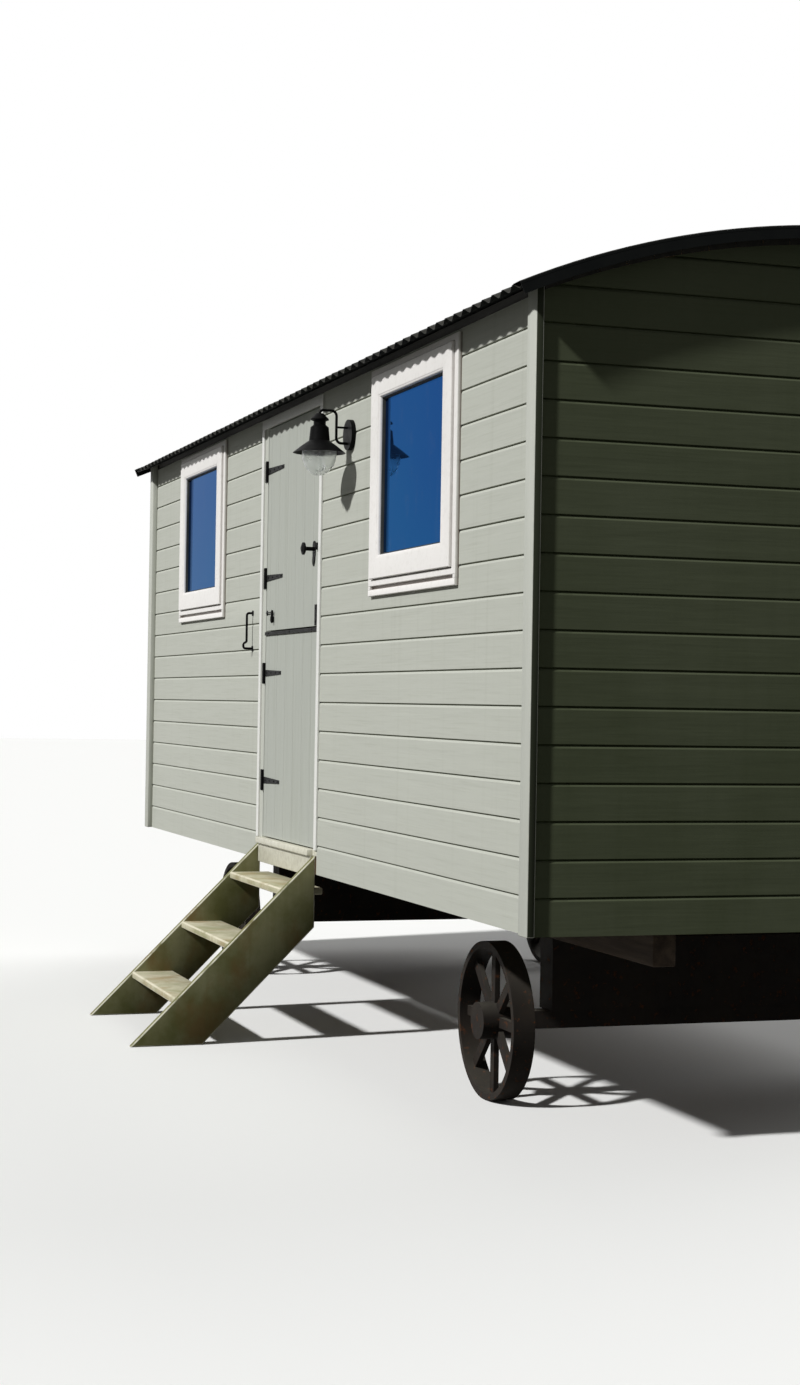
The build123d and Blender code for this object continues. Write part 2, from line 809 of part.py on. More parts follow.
print("hinge axis at x", hinge_x, "y", hinge_y, "front face y", front_y, "back face y", back_y)
print("door from x", leaf_from_x, "to", leaf_to_x, "floor top", floor_top)
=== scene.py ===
# %% [markdown]
# # Dressing a shepherd's hut
#
# The hut is a boarded room on iron wheels, under a curved roof of corrugated iron. Its solids are
# already packed in metres, with +Z up and the door side facing -Y. This lesson lays real boards,
# joinery, iron and paint over them, so nothing here changes a size: each piece is measured from
# the solid that it covers or replaces.

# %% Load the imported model
import math

import bmesh
import bpy
from mathutils import Matrix, Vector


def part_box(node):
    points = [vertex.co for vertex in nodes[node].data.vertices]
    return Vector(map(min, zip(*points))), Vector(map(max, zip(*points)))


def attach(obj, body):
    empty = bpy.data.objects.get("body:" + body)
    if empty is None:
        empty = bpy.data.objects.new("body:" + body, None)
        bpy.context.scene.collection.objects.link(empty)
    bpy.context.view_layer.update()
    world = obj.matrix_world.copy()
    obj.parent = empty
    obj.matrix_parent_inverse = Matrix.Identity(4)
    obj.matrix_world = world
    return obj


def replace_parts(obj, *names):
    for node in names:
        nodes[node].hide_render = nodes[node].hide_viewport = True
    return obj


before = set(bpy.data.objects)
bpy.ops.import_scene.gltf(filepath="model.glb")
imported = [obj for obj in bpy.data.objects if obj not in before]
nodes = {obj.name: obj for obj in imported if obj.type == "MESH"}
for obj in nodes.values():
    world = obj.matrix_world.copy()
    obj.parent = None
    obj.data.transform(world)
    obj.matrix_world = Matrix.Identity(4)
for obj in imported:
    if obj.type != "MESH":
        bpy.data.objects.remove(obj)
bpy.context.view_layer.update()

scene = bpy.context.scene

# %% [markdown]
# ## The camera
#
# The picture is taken from the ground beside the near end, looking along the door side. Three
# small angles and a place describe it fully. Building the camera's matrix from its own right, up
# and forward directions is plainer than stacking turns, and keeps the slight tilt of the horizon.

# %% Place the camera
camera_place = Vector((8.4810, -3.1133, 1.3254))
heading, climb, tilt = 0.3221830, 0.0048511, 0.0163889
forward = Vector((
    -math.cos(heading) * math.cos(climb),
    math.sin(heading) * math.cos(climb),
    math.sin(climb),
))
level_right = forward.cross(Vector((0, 0, 1))).normalized()
level_up = level_right.cross(forward)
camera_right = level_right * math.cos(tilt) + level_up * math.sin(tilt)
camera_up = level_up * math.cos(tilt) - level_right * math.sin(tilt)
camera_data = bpy.data.cameras.new("hut_camera")
camera_data.lens = 55.70
camera_data.sensor_width = 36.0
camera = bpy.data.objects.new("hut_camera", camera_data)
turn = Matrix((camera_right, camera_up, -forward)).transposed().to_4x4()
camera.matrix_world = Matrix.Translation(camera_place) @ turn
scene.collection.objects.link(camera)
scene.camera = camera
print("camera looks along", [round(value, 3) for value in forward])

# %% [markdown]
# ## Light, floor and background
#
# A hut outdoors is lit by one light on its door side and by the sky. Here a soft lamp, 40 degrees
# high and a little towards the near end, and an even dome do the same at a plain level, at which a
# paint renders about as it is written. The lamp only grazes the end wall, so that wall stays dark
# and the roof throws a curved shadow on it. The dome is white only to the camera and in
# reflections. For the light it sends it is much dimmer, so the far sides keep some shade.

# %% Colours written the way a paint chart gives them
def chart(red, green, blue):
    """A paint chart's 0 to 255 values as the light values that a shader wants."""
    def light(value):
        share = value / 255
        return share / 12.92 if share <= 0.04045 else ((share + 0.055) / 1.055) ** 2.4
    return light(red), light(green), light(blue), 1.0


print("mid grey is", round(chart(128, 128, 128)[0], 3))

# %% A helper that adds one shader node
def add(tree, kind, inputs=None, **settings):
    """Add a node, give it its settings, and set or link its inputs by name or number."""
    made = tree.nodes.new(kind)
    for key, value in settings.items():
        setattr(made, key, value)
    for key, value in (inputs or {}).items():
        if isinstance(value, bpy.types.NodeSocket):
            tree.links.new(value, made.inputs[key])
        else:
            made.inputs[key].default_value = value
    return made


def seen_directly(tree):
    """1 where the camera, a reflection or clear glass looks, 0 where light is gathered."""
    path = add(tree, "ShaderNodeLightPath")
    straight = add(tree, "ShaderNodeMath", {0: path.outputs["Is Camera Ray"],
                                            1: path.outputs["Is Glossy Ray"]}, operation="MAXIMUM")
    either = add(tree, "ShaderNodeMath", {0: straight.outputs[0],
                                          1: path.outputs["Is Transmission Ray"]},
                 operation="MAXIMUM")
    return either.outputs[0]


# %% The dome
dome_light = 0.11
world = bpy.data.worlds.new("studio_dome")
scene.world = world
world.use_nodes = True
sky = world.node_tree
sky.nodes.clear()
shown = add(sky, "ShaderNodeBackground", {"Color": (1, 1, 1, 1), "Strength": 1.0})
lit = add(sky, "ShaderNodeBackground", {"Color": (0.97, 0.985, 1, 1), "Strength": dome_light})
chosen = add(sky, "ShaderNodeMixShader", {0: seen_directly(sky), 1: lit.outputs[0],
                                          2: shown.outputs[0]})
add(sky, "ShaderNodeOutputWorld", {"Surface": chosen.outputs[0]})
scene.view_settings.view_transform = "Standard"

# %% A soft lamp high over the door side, and a weak and very wide fill from behind
def sun(name, shines_from, strength, spread):
    """A far light that shines from a direction, its disc as many degrees wide as the spread."""
    light = bpy.data.lights.new(name, "SUN")
    light.energy = strength
    light.angle = math.radians(spread)
    lamp = bpy.data.objects.new(name, light)
    lamp.rotation_euler = Vector(shines_from).to_track_quat("Z", "Y").to_euler()
    scene.collection.objects.link(lamp)


lamp_strength = 3.7
sun("studio_lamp", (0.185, -0.743, 0.643), lamp_strength, 3)
sun("studio_fill", (-0.45, 0.70, 0.55), 1.2, 50)

# %% The floor, pale to the eye and dimmer for the light that it throws back
floor_finish = bpy.data.materials.new("studio_floor")
floor_finish.use_nodes = True
tree = floor_finish.node_tree
tree.nodes.clear()
pale = add(tree, "ShaderNodeBsdfDiffuse", {"Color": chart(243, 243, 241)})
dim = add(tree, "ShaderNodeBsdfDiffuse", {"Color": chart(96, 96, 92)})
floor_mix = add(tree, "ShaderNodeMixShader", {0: seen_directly(tree), 1: dim.outputs[0],
                                              2: pale.outputs[0]})
add(tree, "ShaderNodeOutputMaterial", {"Surface": floor_mix.outputs[0]})
floor_reach = 60.0
floor_sheet = bmesh.new()
bmesh.ops.create_grid(floor_sheet, x_segments=1, y_segments=1, size=floor_reach)
floor_mesh = bpy.data.meshes.new("studio_floor")
floor_sheet.to_mesh(floor_mesh)
floor_sheet.free()
floor_mesh.materials.append(floor_finish)
floor = bpy.data.objects.new("studio_floor", floor_mesh)
scene.collection.objects.link(floor)
print("lamp strength", lamp_strength, "dome", dome_light)

# %% [markdown]
# ## Finishes
#
# Every finish is made of the same few things: a main colour, slow clouds of fading, fine grain
# along the wood, dirt where water sits, and bare or pale wear on the arrises. Two marks that the
# meshes carry, called arris and groove, say where an edge or a joint is, so the wear follows the
# real shape and stays in place from every side.

# %% Small steps that the finishes share
even = (1, 1, 1)         # a pattern that isn't drawn out along any axis


def place(tree):
    """Where a point is on the hut, in metres."""
    return add(tree, "ShaderNodeTexCoord").outputs["Object"]


def noise(tree, stretch, scale=1.0, detail=4.0, roughness=0.55, offset=(0, 0, 0)):
    """Noise over the hut, drawn out along an axis where the stretch is small."""
    moved = add(tree, "ShaderNodeMapping", {"Vector": place(tree), "Scale": stretch,
                                            "Location": offset})
    made = add(tree, "ShaderNodeTexNoise", {"Vector": moved.outputs[0], "Scale": scale,
                                            "Detail": detail, "Roughness": roughness})
    return made.outputs["Fac"]


def span(tree, value, low, high, to_low=0.0, to_high=1.0):
    """Stretch the part of a value between low and high over a new range, and stop there."""
    made = add(tree, "ShaderNodeMapRange", {"Value": value, "From Min": low, "From Max": high,
                                            "To Min": to_low, "To Max": to_high})
    return made.outputs["Result"]


def maths(tree, operation, first, second=0.0):
    made = add(tree, "ShaderNodeMath", {0: first, 1: second}, operation=operation)
    return made.outputs[0]


def layer(tree, share, under, over):
    """Lay one colour over another."""
    return add(tree, "ShaderNodeMix", {0: share, 6: under, 7: over}, data_type="RGBA").outputs[2]


def stain(tree, under, over, value, low, high, share=1.0):
    """Lay one colour over another as a value runs from low to high, at most by the share."""
    return layer(tree, span(tree, value, low, high, 0, share), under, over)


def mark(tree, name):
    """A mark that the mesh carries: arris or groove."""
    return add(tree, "ShaderNodeAttribute", attribute_name=name).outputs["Fac"]


def axis_value(tree, axis):
    """One coordinate of the place, X, Y or Z."""
    parts = add(tree, "ShaderNodeSeparateXYZ", {"Vector": place(tree)})
    return parts.outputs[axis]


def start_finish(name, roughness, shine, metallic=0.0):
    """A material with one Principled shader, and its node tree. Shine is the specular level."""
    finish = bpy.data.materials.new(name)
    finish.use_nodes = True
    shader = finish.node_tree.nodes["Principled BSDF"]
    shader.inputs["Roughness"].default_value = roughness
    shader.inputs["Specular IOR Level"].default_value = shine
    shader.inputs["Metallic"].default_value = metallic
    return finish, finish.node_tree, shader


def show(tree, shader, colour, roughness):
    """Link the colour and the roughness that a finish has worked out."""
    tree.links.new(colour, shader.inputs["Base Color"])
    tree.links.new(roughness, shader.inputs["Roughness"])


def wear_arrises(tree, colour, where, strength, bare):
    """Wear a colour away along the arrises, as far as a pattern allows it."""
    wear = maths(tree, "MULTIPLY", mark(tree, "arris"), where)
    return layer(tree, maths(tree, "MULTIPLY", wear, strength), colour, bare)


def bumps(tree, shader, layers):
    """Chain bump nodes: each layer is a height, its strength and its depth in metres."""
    normal = None
    for height, strength, depth in layers:
        inputs = {"Height": height, "Strength": strength, "Distance": depth}
        if normal is not None:
            inputs["Normal"] = normal
        normal = add(tree, "ShaderNodeBump", inputs).outputs[0]
    tree.links.new(normal, shader.inputs["Normal"])


# %% [markdown]
# ## Painted boards
#
# The outside is matt-satin sage paint on softwood. Boards differ a little in tone from row to row,
# rain draws faint streaks down them, and the near end wall is painted greener and darker: partly
# algae, partly painted shade. Row tones come from a random value per board height, which is how
# separately painted boards look.

# %% A maker for painted boards
board_cover = 0.112
body_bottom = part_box("front_wall_right")[0].z


def painted_boards(name, paint, faded, grime, bare, grain_along, row_tone=0.05, algae=0.0,
                   streaks=0.10):
    """Paint on boards whose grain runs along one axis."""
    finish, tree, shader = start_finish(name, 0.5, 0.02)
    rows = maths(tree, "FLOOR", maths(tree, "DIVIDE", maths(tree, "SUBTRACT",
                 axis_value(tree, "Z"), body_bottom), board_cover))
    tone = add(tree, "ShaderNodeTexWhiteNoise", {"W": rows}, noise_dimensions="1D")
    row_share = span(tree, tone.outputs["Value"], 0, 1, 0, row_tone * 4)
    clouds = span(tree, noise(tree, even, 1.1, 5), 0.38, 0.68)
    colour = layer(tree, maths(tree, "MULTIPLY", clouds, 0.45), paint, faded)
    colour = layer(tree, row_share, colour, faded)
    stretch = {"X": (1.1, 34, 60), "Y": (34, 1.1, 60), "Z": (60, 34, 1.1)}[grain_along]
    grain = noise(tree, stretch, 3.2, 6, 0.6)
    colour = stain(tree, colour, grime, grain, 0.52, 0.75, 0.13)
    rain = noise(tree, (26, 26, 0.7), 1.0, 3, 0.5, (3.1, 1.7, 0))
    colour = stain(tree, colour, grime, rain, 0.56, 0.80, streaks)
    if algae:
        damp = noise(tree, (2.2, 2.2, 1.1), 1.4, 6, 0.62, (7, 2, 1))
        low_down = span(tree, axis_value(tree, "Z"), body_bottom + 1.1, body_bottom - 0.05, 0.6)
        green = maths(tree, "MULTIPLY", span(tree, damp, 0.30, 0.70, 0.35, 1.0), low_down)
        colour = layer(tree, maths(tree, "MULTIPLY", green, algae), colour, grime)
    colour = stain(tree, colour, grime, mark(tree, "groove"), 0.45, 1.0, 0.85)
    worn = span(tree, noise(tree, even, 24, 4, 0.6), 0.42, 0.62)
    colour = wear_arrises(tree, colour, worn, 0.5, bare)
    show(tree, shader, colour, span(tree, grain, 0.3, 0.75, 0.43, 0.62))
    brush = noise(tree, tuple(value * 4 for value in stretch), 2.0, 3)
    swell = noise(tree, tuple(max(value / 12, 0.5) for value in stretch), 5.0, 2)
    bumps(tree, shader, ((swell, 0.5, 0.0030), (grain, 0.35, 0.0006), (brush, 0.25, 0.0002)))
    return finish


sage_chart = chart(184, 186, 176)
sage_faded = chart(187, 189, 179)
sage_grime = chart(112, 116, 92)
sage_bare = chart(214, 213, 200)
sage = painted_boards("sage_paint_front", sage_chart, sage_faded, sage_grime, sage_bare, "X")
sage_upright = painted_boards("sage_paint_upright", chart(190, 192, 183), chart(193, 195, 186),
                              sage_grime, sage_bare, "Z", row_tone=0.0)
sage_across = painted_boards("sage_paint_far_end", sage_chart, sage_faded, sage_grime, sage_bare,
                             "Y", algae=0.25)
# The near end: darker and greener than the front, partly algae and partly painted shade.
sage_shade_and_algae = painted_boards("sage_paint_near_end_shade_and_algae", chart(92, 98, 78), chart(104, 109, 89),
                           chart(58, 66, 40), chart(134, 138, 118), "Y", algae=0.6)
# A dark copy of the sage for the trims' narrow sides at the near end: painted shade.
sage_side_shade = painted_boards("sage_paint_trim_side_painted_shade", chart(58, 62, 50), chart(66, 70, 57),
                           chart(46, 52, 34), chart(84, 88, 74), "Z", row_tone=0.0)
leaf_paint = painted_boards("sage_paint_door", chart(173, 176, 168), chart(179, 182, 172),
                            sage_grime, sage_bare, "Z", row_tone=0.0, streaks=0.16)
print("painted boards:", sage.name, sage_shade_and_algae.name, sage_side_shade.name, leaf_paint.name)

# %% [markdown]
# ## Painted joinery
#
# Windows and the strips beside the door are bright off-white, in paint thicker and smoother than
# the boards have. The grooves and the drip slot are painted dark brown, partly dirt and partly
# painted shade. The strips are a little greyer, and feet and splashes have stained the threshold.

# %% Off-white joinery paint
def joinery_paint(name, paint, grime, stains=0.18):
    finish, tree, shader = start_finish(name, 0.36, 0.1)
    clouds = span(tree, noise(tree, even, 5.0, 5), 0.4, 0.7, 0, 0.35)
    colour = layer(tree, clouds, paint, tuple(value * 0.93 for value in paint[:3]) + (1.0,))
    specks = noise(tree, even, 46, 5, 0.65)
    colour = stain(tree, colour, grime, specks, 0.60 - stains / 2, 0.78, stains)
    # Grooves and slots darkened brown: dirt, and painted shade in the recesses.
    colour = stain(tree, colour, groove_dirt_and_shade, mark(tree, "groove"), 0.3, 0.9, 0.9)
    chips = span(tree, noise(tree, even, 70, 4), 0.60, 0.66)
    colour = wear_arrises(tree, colour, chips, 0.6, chart(176, 166, 146))
    brush = noise(tree, (9, 9, 60), 3.0, 4)
    show(tree, shader, colour, span(tree, brush, 0.3, 0.7, 0.28, 0.44))
    bumps(tree, shader, ((brush, 0.18, 0.0003),))
    return finish


groove_dirt_and_shade = chart(92, 74, 58)
cream = joinery_paint("joinery_paint", chart(234, 231, 227), chart(160, 150, 136))
strip_paint = joinery_paint("strip_paint", chart(222, 222, 217), chart(150, 150, 136))
threshold_paint = joinery_paint("threshold_paint", chart(210, 208, 192), chart(132, 126, 104), 0.4)
print("joinery:", cream.name, strip_paint.name, threshold_paint.name)

# %% [markdown]
# ## Iron
#
# Three irons: the black enamelled fittings, the dark painted roof sheets, and the rusty running
# gear. They share one recipe, in which noise decides where rust or bare metal shows through the
# paint, most of all on the arrises. The dull dark rubber round the panes takes the same recipe; it
# is also there as painted shade, darkening the reveal in front of the glass.

# %% A maker for painted iron
def painted_iron(name, paint, scuffed, rust, rust_share, roughness, bump_depth=0.0004, dust=0.0):
    """Paint on iron. Dust lies only where a face looks upwards."""
    finish, tree, shader = start_finish(name, roughness, 0.04)
    colour = stain(tree, paint, scuffed, noise(tree, even, 7, 6), 0.35, 0.7)
    flecks = noise(tree, even, 38, 8, 0.65, (4, 4, 4))
    spots = span(tree, flecks, 0.74 - 0.3 * rust_share, 0.80 - 0.2 * rust_share)
    colour = layer(tree, spots, colour, rust)
    if dust:
        facing = add(tree, "ShaderNodeSeparateXYZ",
                     {"Vector": add(tree, "ShaderNodeNewGeometry").outputs["Normal"]})
        upwards = span(tree, facing.outputs["Z"], 0.3, 0.9)
        film = span(tree, noise(tree, even, 6.0, 8, 0.65), 0.35, 0.80, dust * 0.4, dust)
        colour = layer(tree, maths(tree, "MULTIPLY", film, upwards), colour, chart(120, 117, 106))
    worn = span(tree, noise(tree, even, 60, 3), 0.40, 0.60)
    colour = wear_arrises(tree, colour, worn, 0.55, chart(104, 100, 94))
    rough = span(tree, flecks, 0.3, 0.75, roughness - 0.08, roughness + 0.1)
    show(tree, shader, colour, maths(tree, "ADD", rough, maths(tree, "MULTIPLY", spots, 0.2)))
    hammered = noise(tree, even, 120, 3)
    bumps(tree, shader, ((flecks, 0.3, bump_depth), (hammered, 0.2, bump_depth / 2)))
    return finish


black_iron = painted_iron("black_enamel", chart(10, 10, 10), chart(19, 19, 19),
                          chart(58, 40, 28), 0.05, 0.45)
roof_paint = painted_iron("roof_iron_paint", chart(13, 15, 15), chart(22, 24, 23),
                          chart(62, 48, 36), 0.08, 0.5, 0.0006, dust=0.22)
gear_iron = painted_iron("running_gear_iron", chart(38, 35, 33), chart(50, 45, 40),
                         chart(96, 60, 38), 0.5, 0.62, 0.0012, dust=0.3)
rubber = painted_iron("glazing_rubber_and_reveal_shade", chart(48, 50, 50), chart(70, 71, 68), chart(96, 92, 82),
                      0.1, 0.6, 0.0002)
print("irons:", black_iron.name, roof_paint.name, gear_iron.name, "and", rubber.name)

# %% [markdown]
# ## Glass
#
# The windows look blue and dark from outside, because the room behind is unlit and the pane
# mirrors the sky. Here the pane's colour is a painted reflection of the sky and painted shade of
# the room: a metallic blue, darker towards the top, which still mirrors the lamp and the frame.
# The lamp's bowl is faintly etched.

# %% Window and lamp glass
def window_pane():
    finish, tree, shader = start_finish("window_glass_painted_sky", 0.03, 0.1, 0.85)
    clouds = noise(tree, (0.9, 0.9, 0.9), 1.0, 2)
    # Painted reflection of the sky: the blue grows darker towards the top.
    height = span(tree, axis_value(tree, "Z"), 1.85, 2.45, -0.25, 0.25)
    depth = span(tree, maths(tree, "ADD", clouds, height), 0.25, 0.75)
    tint = layer(tree, depth, chart(44, 80, 128), chart(40, 70, 126))
    smears = noise(tree, (3, 3, 1), 6, 4)
    show(tree, shader, tint, span(tree, smears, 0.35, 0.8, 0.015, 0.06))
    bumps(tree, shader, ((noise(tree, even, 2.0, 2), 0.05, 0.001),))
    shader.inputs["Specular Tint"].default_value = chart(164, 190, 222)
    shader.inputs["IOR"].default_value = 1.45
    return finish


def bowl_glass():
    finish, tree, shader = start_finish("lamp_glass_etched", 0.3, 0.5)
    smears = noise(tree, even, 18, 4)
    tint = stain(tree, (0.97, 0.98, 0.975, 1), (0.86, 0.88, 0.86, 1), smears, 0.4, 0.8)
    show(tree, shader, tint, span(tree, smears, 0.35, 0.8, 0.26, 0.36))
    bumps(tree, shader, ((noise(tree, even, 30, 2), 0.06, 0.0005),))
    shader.inputs["Transmission Weight"].default_value = 0.9
    shader.inputs["IOR"].default_value = 1.12
    return finish


pane, bowl = window_pane(), bowl_glass()
print("glass:", pane.name, bowl.name)

# %% [markdown]
# ## Bare and weathered wood
#
# Inside, the floor and ceiling are plain pine, and the bearers below are stained nearly black. The
# steps carry the same sage paint as the boards, but feet and rain have taken much of it: brown
# algae on the flats, bare pale wood along every arris.

# %% Pine, stained bearers and worn steps
def plain_wood(name, pale_wood, dark_wood, grain_along, roughness):
    finish, tree, shader = start_finish(name, roughness, 0.12)
    stretch = {"X": (0.5, 9, 9), "Y": (9, 0.5, 9)}[grain_along]
    rings = noise(tree, stretch, 3.0, 5, 0.6)
    lines = noise(tree, tuple(value * 6 for value in stretch), 3.0, 3)
    colour = stain(tree, pale_wood, dark_wood, rings, 0.35, 0.68)
    colour = stain(tree, colour, dark_wood, lines, 0.50, 0.75, 0.45)
    colour = wear_arrises(tree, colour, span(tree, lines, 0.35, 0.65), 0.35, pale_wood)
    show(tree, shader, colour, span(tree, rings, 0.3, 0.7, roughness - 0.08, roughness + 0.1))
    bumps(tree, shader, ((lines, 0.35, 0.0006),))
    return finish


def worn_paint(name, paint, moss, brown, bare):
    finish, tree, shader = start_finish(name, 0.62, 0.1)
    patches = noise(tree, even, 5.5, 7, 0.62, (2, 5, 1))
    colour = stain(tree, paint, moss, patches, 0.40, 0.66)
    stains = noise(tree, (1, 1, 0.6), 7.0, 7, 0.6, (9, 1, 4))
    colour = stain(tree, colour, brown, stains, 0.50, 0.68, 0.75)
    runs = noise(tree, (30, 30, 1.4), 1.0, 4, 0.55, (1, 8, 3))
    colour = stain(tree, colour, moss, runs, 0.50, 0.72, 0.35)
    grain = noise(tree, (2, 40, 12), 3.0, 5)
    worn = span(tree, noise(tree, even, 14, 5), 0.30, 0.52)
    colour = wear_arrises(tree, colour, worn, 0.9, bare)
    show(tree, shader, colour, span(tree, patches, 0.3, 0.7, 0.55, 0.8))
    bumps(tree, shader, ((grain, 0.3, 0.0007), (patches, 0.3, 0.0008)))
    return finish


pine_x = plain_wood("pine_boards", chart(196, 166, 124), chart(150, 112, 72), "X", 0.55)
bearer_x = plain_wood("bearer_along", chart(74, 62, 50), chart(44, 36, 30), "X", 0.68)
joist_y = plain_wood("joist_across", chart(98, 80, 60), chart(62, 50, 38), "Y", 0.68)
# Near-black wood for the roof boards' ends and eave boards: painted shade under the iron.
eave_painted_shade = plain_wood("eave_board_painted_shade", chart(34, 32, 27), chart(20, 20, 17), "X", 0.7)
tread_paint = worn_paint("tread_paint", chart(200, 195, 170), chart(162, 160, 128),
                         chart(158, 136, 98), chart(214, 208, 186))
# The side boards' dark olive: partly moss, partly painted shade.
side_board_moss_and_shade = worn_paint("side_board_moss_and_shade", chart(128, 127, 94), chart(98, 99, 60),
                          chart(112, 90, 52), chart(214, 212, 194))
print("woods:", pine_x.name, bearer_x.name, tread_paint.name, side_board_moss_and_shade.name)

# %% [markdown]
# ## Ways to make a piece
#
# Most pieces start in one of three ways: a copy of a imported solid, a bar whose outline is drawn
# and pulled along, or a turned form. Then the sharp edges are eased, because no sawn or planed
# edge is perfectly sharp, and the narrow faces that this makes get the arris mark.

# %% Copy a solid, ease its edges, and finish a piece
def copy_of(node_name):
    """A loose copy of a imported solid, with its corners joined and its flat faces whole."""
    bm = bmesh.new()
    bm.from_mesh(nodes[node_name].data)
    bmesh.ops.remove_doubles(bm, verts=bm.verts, dist=1e-6)
    bmesh.ops.dissolve_limit(bm, angle_limit=math.radians(0.05), verts=bm.verts, edges=bm.edges)
    return bm


def ease(bm, width, segments=2, sharper_than=30):
    """Round the sharp edges a little, and mark the narrow faces that this makes."""
    worn = bm.loops.layers.float.get("arris") or bm.loops.layers.float.new("arris")
    limit = math.radians(sharper_than)
    sharp = [edge for edge in bm.edges if len(edge.link_faces) == 2
             and edge.calc_face_angle(0) > limit]
    made = bmesh.ops.bevel(bm, geom=sharp, offset=width, segments=segments, profile=0.5,
                           affect="EDGES", clamp_overlap=True)
    for face in made["faces"]:
        for loop in face.loops:
            loop[worn] = 1.0


def finish_piece(name, bm, body, slot, *finishes, smooth=30):
    """Turn loose geometry into a named piece that rides on a body of the hut."""
    bmesh.ops.recalc_face_normals(bm, faces=bm.faces)
    mesh = bpy.data.meshes.new(name)
    bm.to_mesh(mesh)
    bm.free()
    for finish in finishes:
        mesh.materials.append(finish)
    mesh.polygons.foreach_set("use_smooth", [True] * len(mesh.polygons))
    mesh.set_sharp_from_angle(angle=math.radians(smooth))
    piece = bpy.data.objects.new(name, mesh)
    scene.collection.objects.link(piece)
    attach(piece, body)
    return piece


def eased_copy(node_name, name, slot, finish, width, segments=2):
    """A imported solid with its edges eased, in place of that solid."""
    bm = copy_of(node_name)
    ease(bm, width, segments)
    piece = finish_piece(name, bm, "hut", slot, finish)
    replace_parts(piece, node_name)


# %% Bars, boxes and turned forms
def bar(bm, outline, along):
    """A bar: the outline's points, and the same points moved along."""
    along = Vector(along)
    near = [bm.verts.new(point) for point in outline]
    far = [bm.verts.new(Vector(point) + along) for point in outline]
    count = len(outline)
    faces = [bm.faces.new(near), bm.faces.new(far[::-1])]
    for i in range(count):
        j = (i + 1) % count
        faces.append(bm.faces.new((near[i], far[i], far[j], near[j])))
    return faces


def block(bm, low, high):
    """A block between two opposite corners."""
    x0, y0, z0 = low
    x1, y1, z1 = high
    return bar(bm, ((x0, y0, z0), (x1, y0, z0), (x1, y1, z0), (x0, y1, z0)), (0, 0, z1 - z0))


def circle(bm, middle, side, other, radius, steps):
    """Points round a circle that two directions span."""
    return [bm.verts.new(middle + radius * (side * math.cos(2 * math.pi * k / steps)
                                            + other * math.sin(2 * math.pi * k / steps)))
            for k in range(steps)]


def join_rings(bm, rings):
    """Faces between each ring of points and the next, all round. A ring may be a single point."""
    for low, high in zip(rings, rings[1:]):
        count = max(len(low), len(high))
        for k in range(count):
            n = (k + 1) % count
            if len(low) == 1:
                bm.faces.new((low[0], high[n], high[k]))
            elif len(high) == 1:
                bm.faces.new((low[k], low[n], high[0]))
            else:
                bm.faces.new((low[k], low[n], high[n], high[k]))


def join_and_close(bm, rings):
    """Faces between the rings, and one over each end."""
    join_rings(bm, rings)
    bm.faces.new(rings[0])
    bm.faces.new(rings[-1][::-1])


def turned(bm, centre, axis, profile, steps=24):
    """A turned form: each profile point is a radius and a height along the axis."""
    axis = Vector(axis).normalized()
    side = axis.orthogonal().normalized()
    other = axis.cross(side)
    rings = []
    for radius, height in profile:
        middle = Vector(centre) + axis * height
        rings.append(circle(bm, middle, side, other, radius, steps) if radius > 0
                     else [bm.verts.new(middle)])
    join_rings(bm, rings)


def screw_head(bm, centre, axis, radius=0.0042, rise=0.0022):
    """The low round head of a screw, standing on a face."""
    turned(bm, centre, axis, ((0, -0.001), (radius, -0.001), (radius, rise * 0.25),
                              (radius * 0.8, rise * 0.75), (radius * 0.4, rise), (0, rise * 0.8)),
           steps=12)


print("helpers ready")

# %% [markdown]
# ## Boarded walls
#
# The walls are clad in level boards that cover 112 mm each, with a narrow shadow joint between
# two boards: the upper board's lower edge is square, and the lower board's upper edge slopes a
# little, so it catches the light as a thin bright line under the dark one. Cutting that joint
# into a copy of each wall keeps the holes for the windows and the curved top exactly as packed.

# %% The joints' section and their heights
joint_half, joint_depth = 0.0021, 0.008
slope_depth, slope_foot = 0.0034, -0.0098
joint_section = (
    (-0.003, 0.0032), (0.0, 0.0032), (0.0012, joint_half), (joint_depth, joint_half),
    (joint_depth, -joint_half), (slope_depth, -joint_half), (0.0, slope_foot),
    (-0.003, slope_foot),
)
lining_section = ((-0.002, 0.0050), (0.0032, 0.0), (-0.002, -0.0050))


def board_joints(top):
    """Heights of the joints below a wall's top."""
    count = int((top - body_bottom) / board_cover)
    return [body_bottom + board_cover * k for k in range(1, count + 1)]


# %% Cut the joints into copies of the walls
def cut_away(bm, cutter):
    """Take the cutter's shape out of a piece."""
    bmesh.ops.recalc_face_normals(cutter, faces=cutter.faces)
    work = bpy.data.objects.new("work", bpy.data.meshes.new("work"))
    tool = bpy.data.objects.new("tool", bpy.data.meshes.new("tool"))
    bm.to_mesh(work.data)
    cutter.to_mesh(tool.data)
    bm.free()
    cutter.free()
    scene.collection.objects.link(work)
    scene.collection.objects.link(tool)
    modifier = work.modifiers.new("cut", "BOOLEAN")
    modifier.operation, modifier.solver, modifier.object = "DIFFERENCE", "EXACT", tool
    graph = bpy.context.evaluated_depsgraph_get()
    result = bmesh.new()
    result.from_mesh(work.evaluated_get(graph).to_mesh())
    for used in (work, tool):
        mesh = used.data
        bpy.data.objects.remove(used)
        bpy.data.meshes.remove(mesh)
    return result


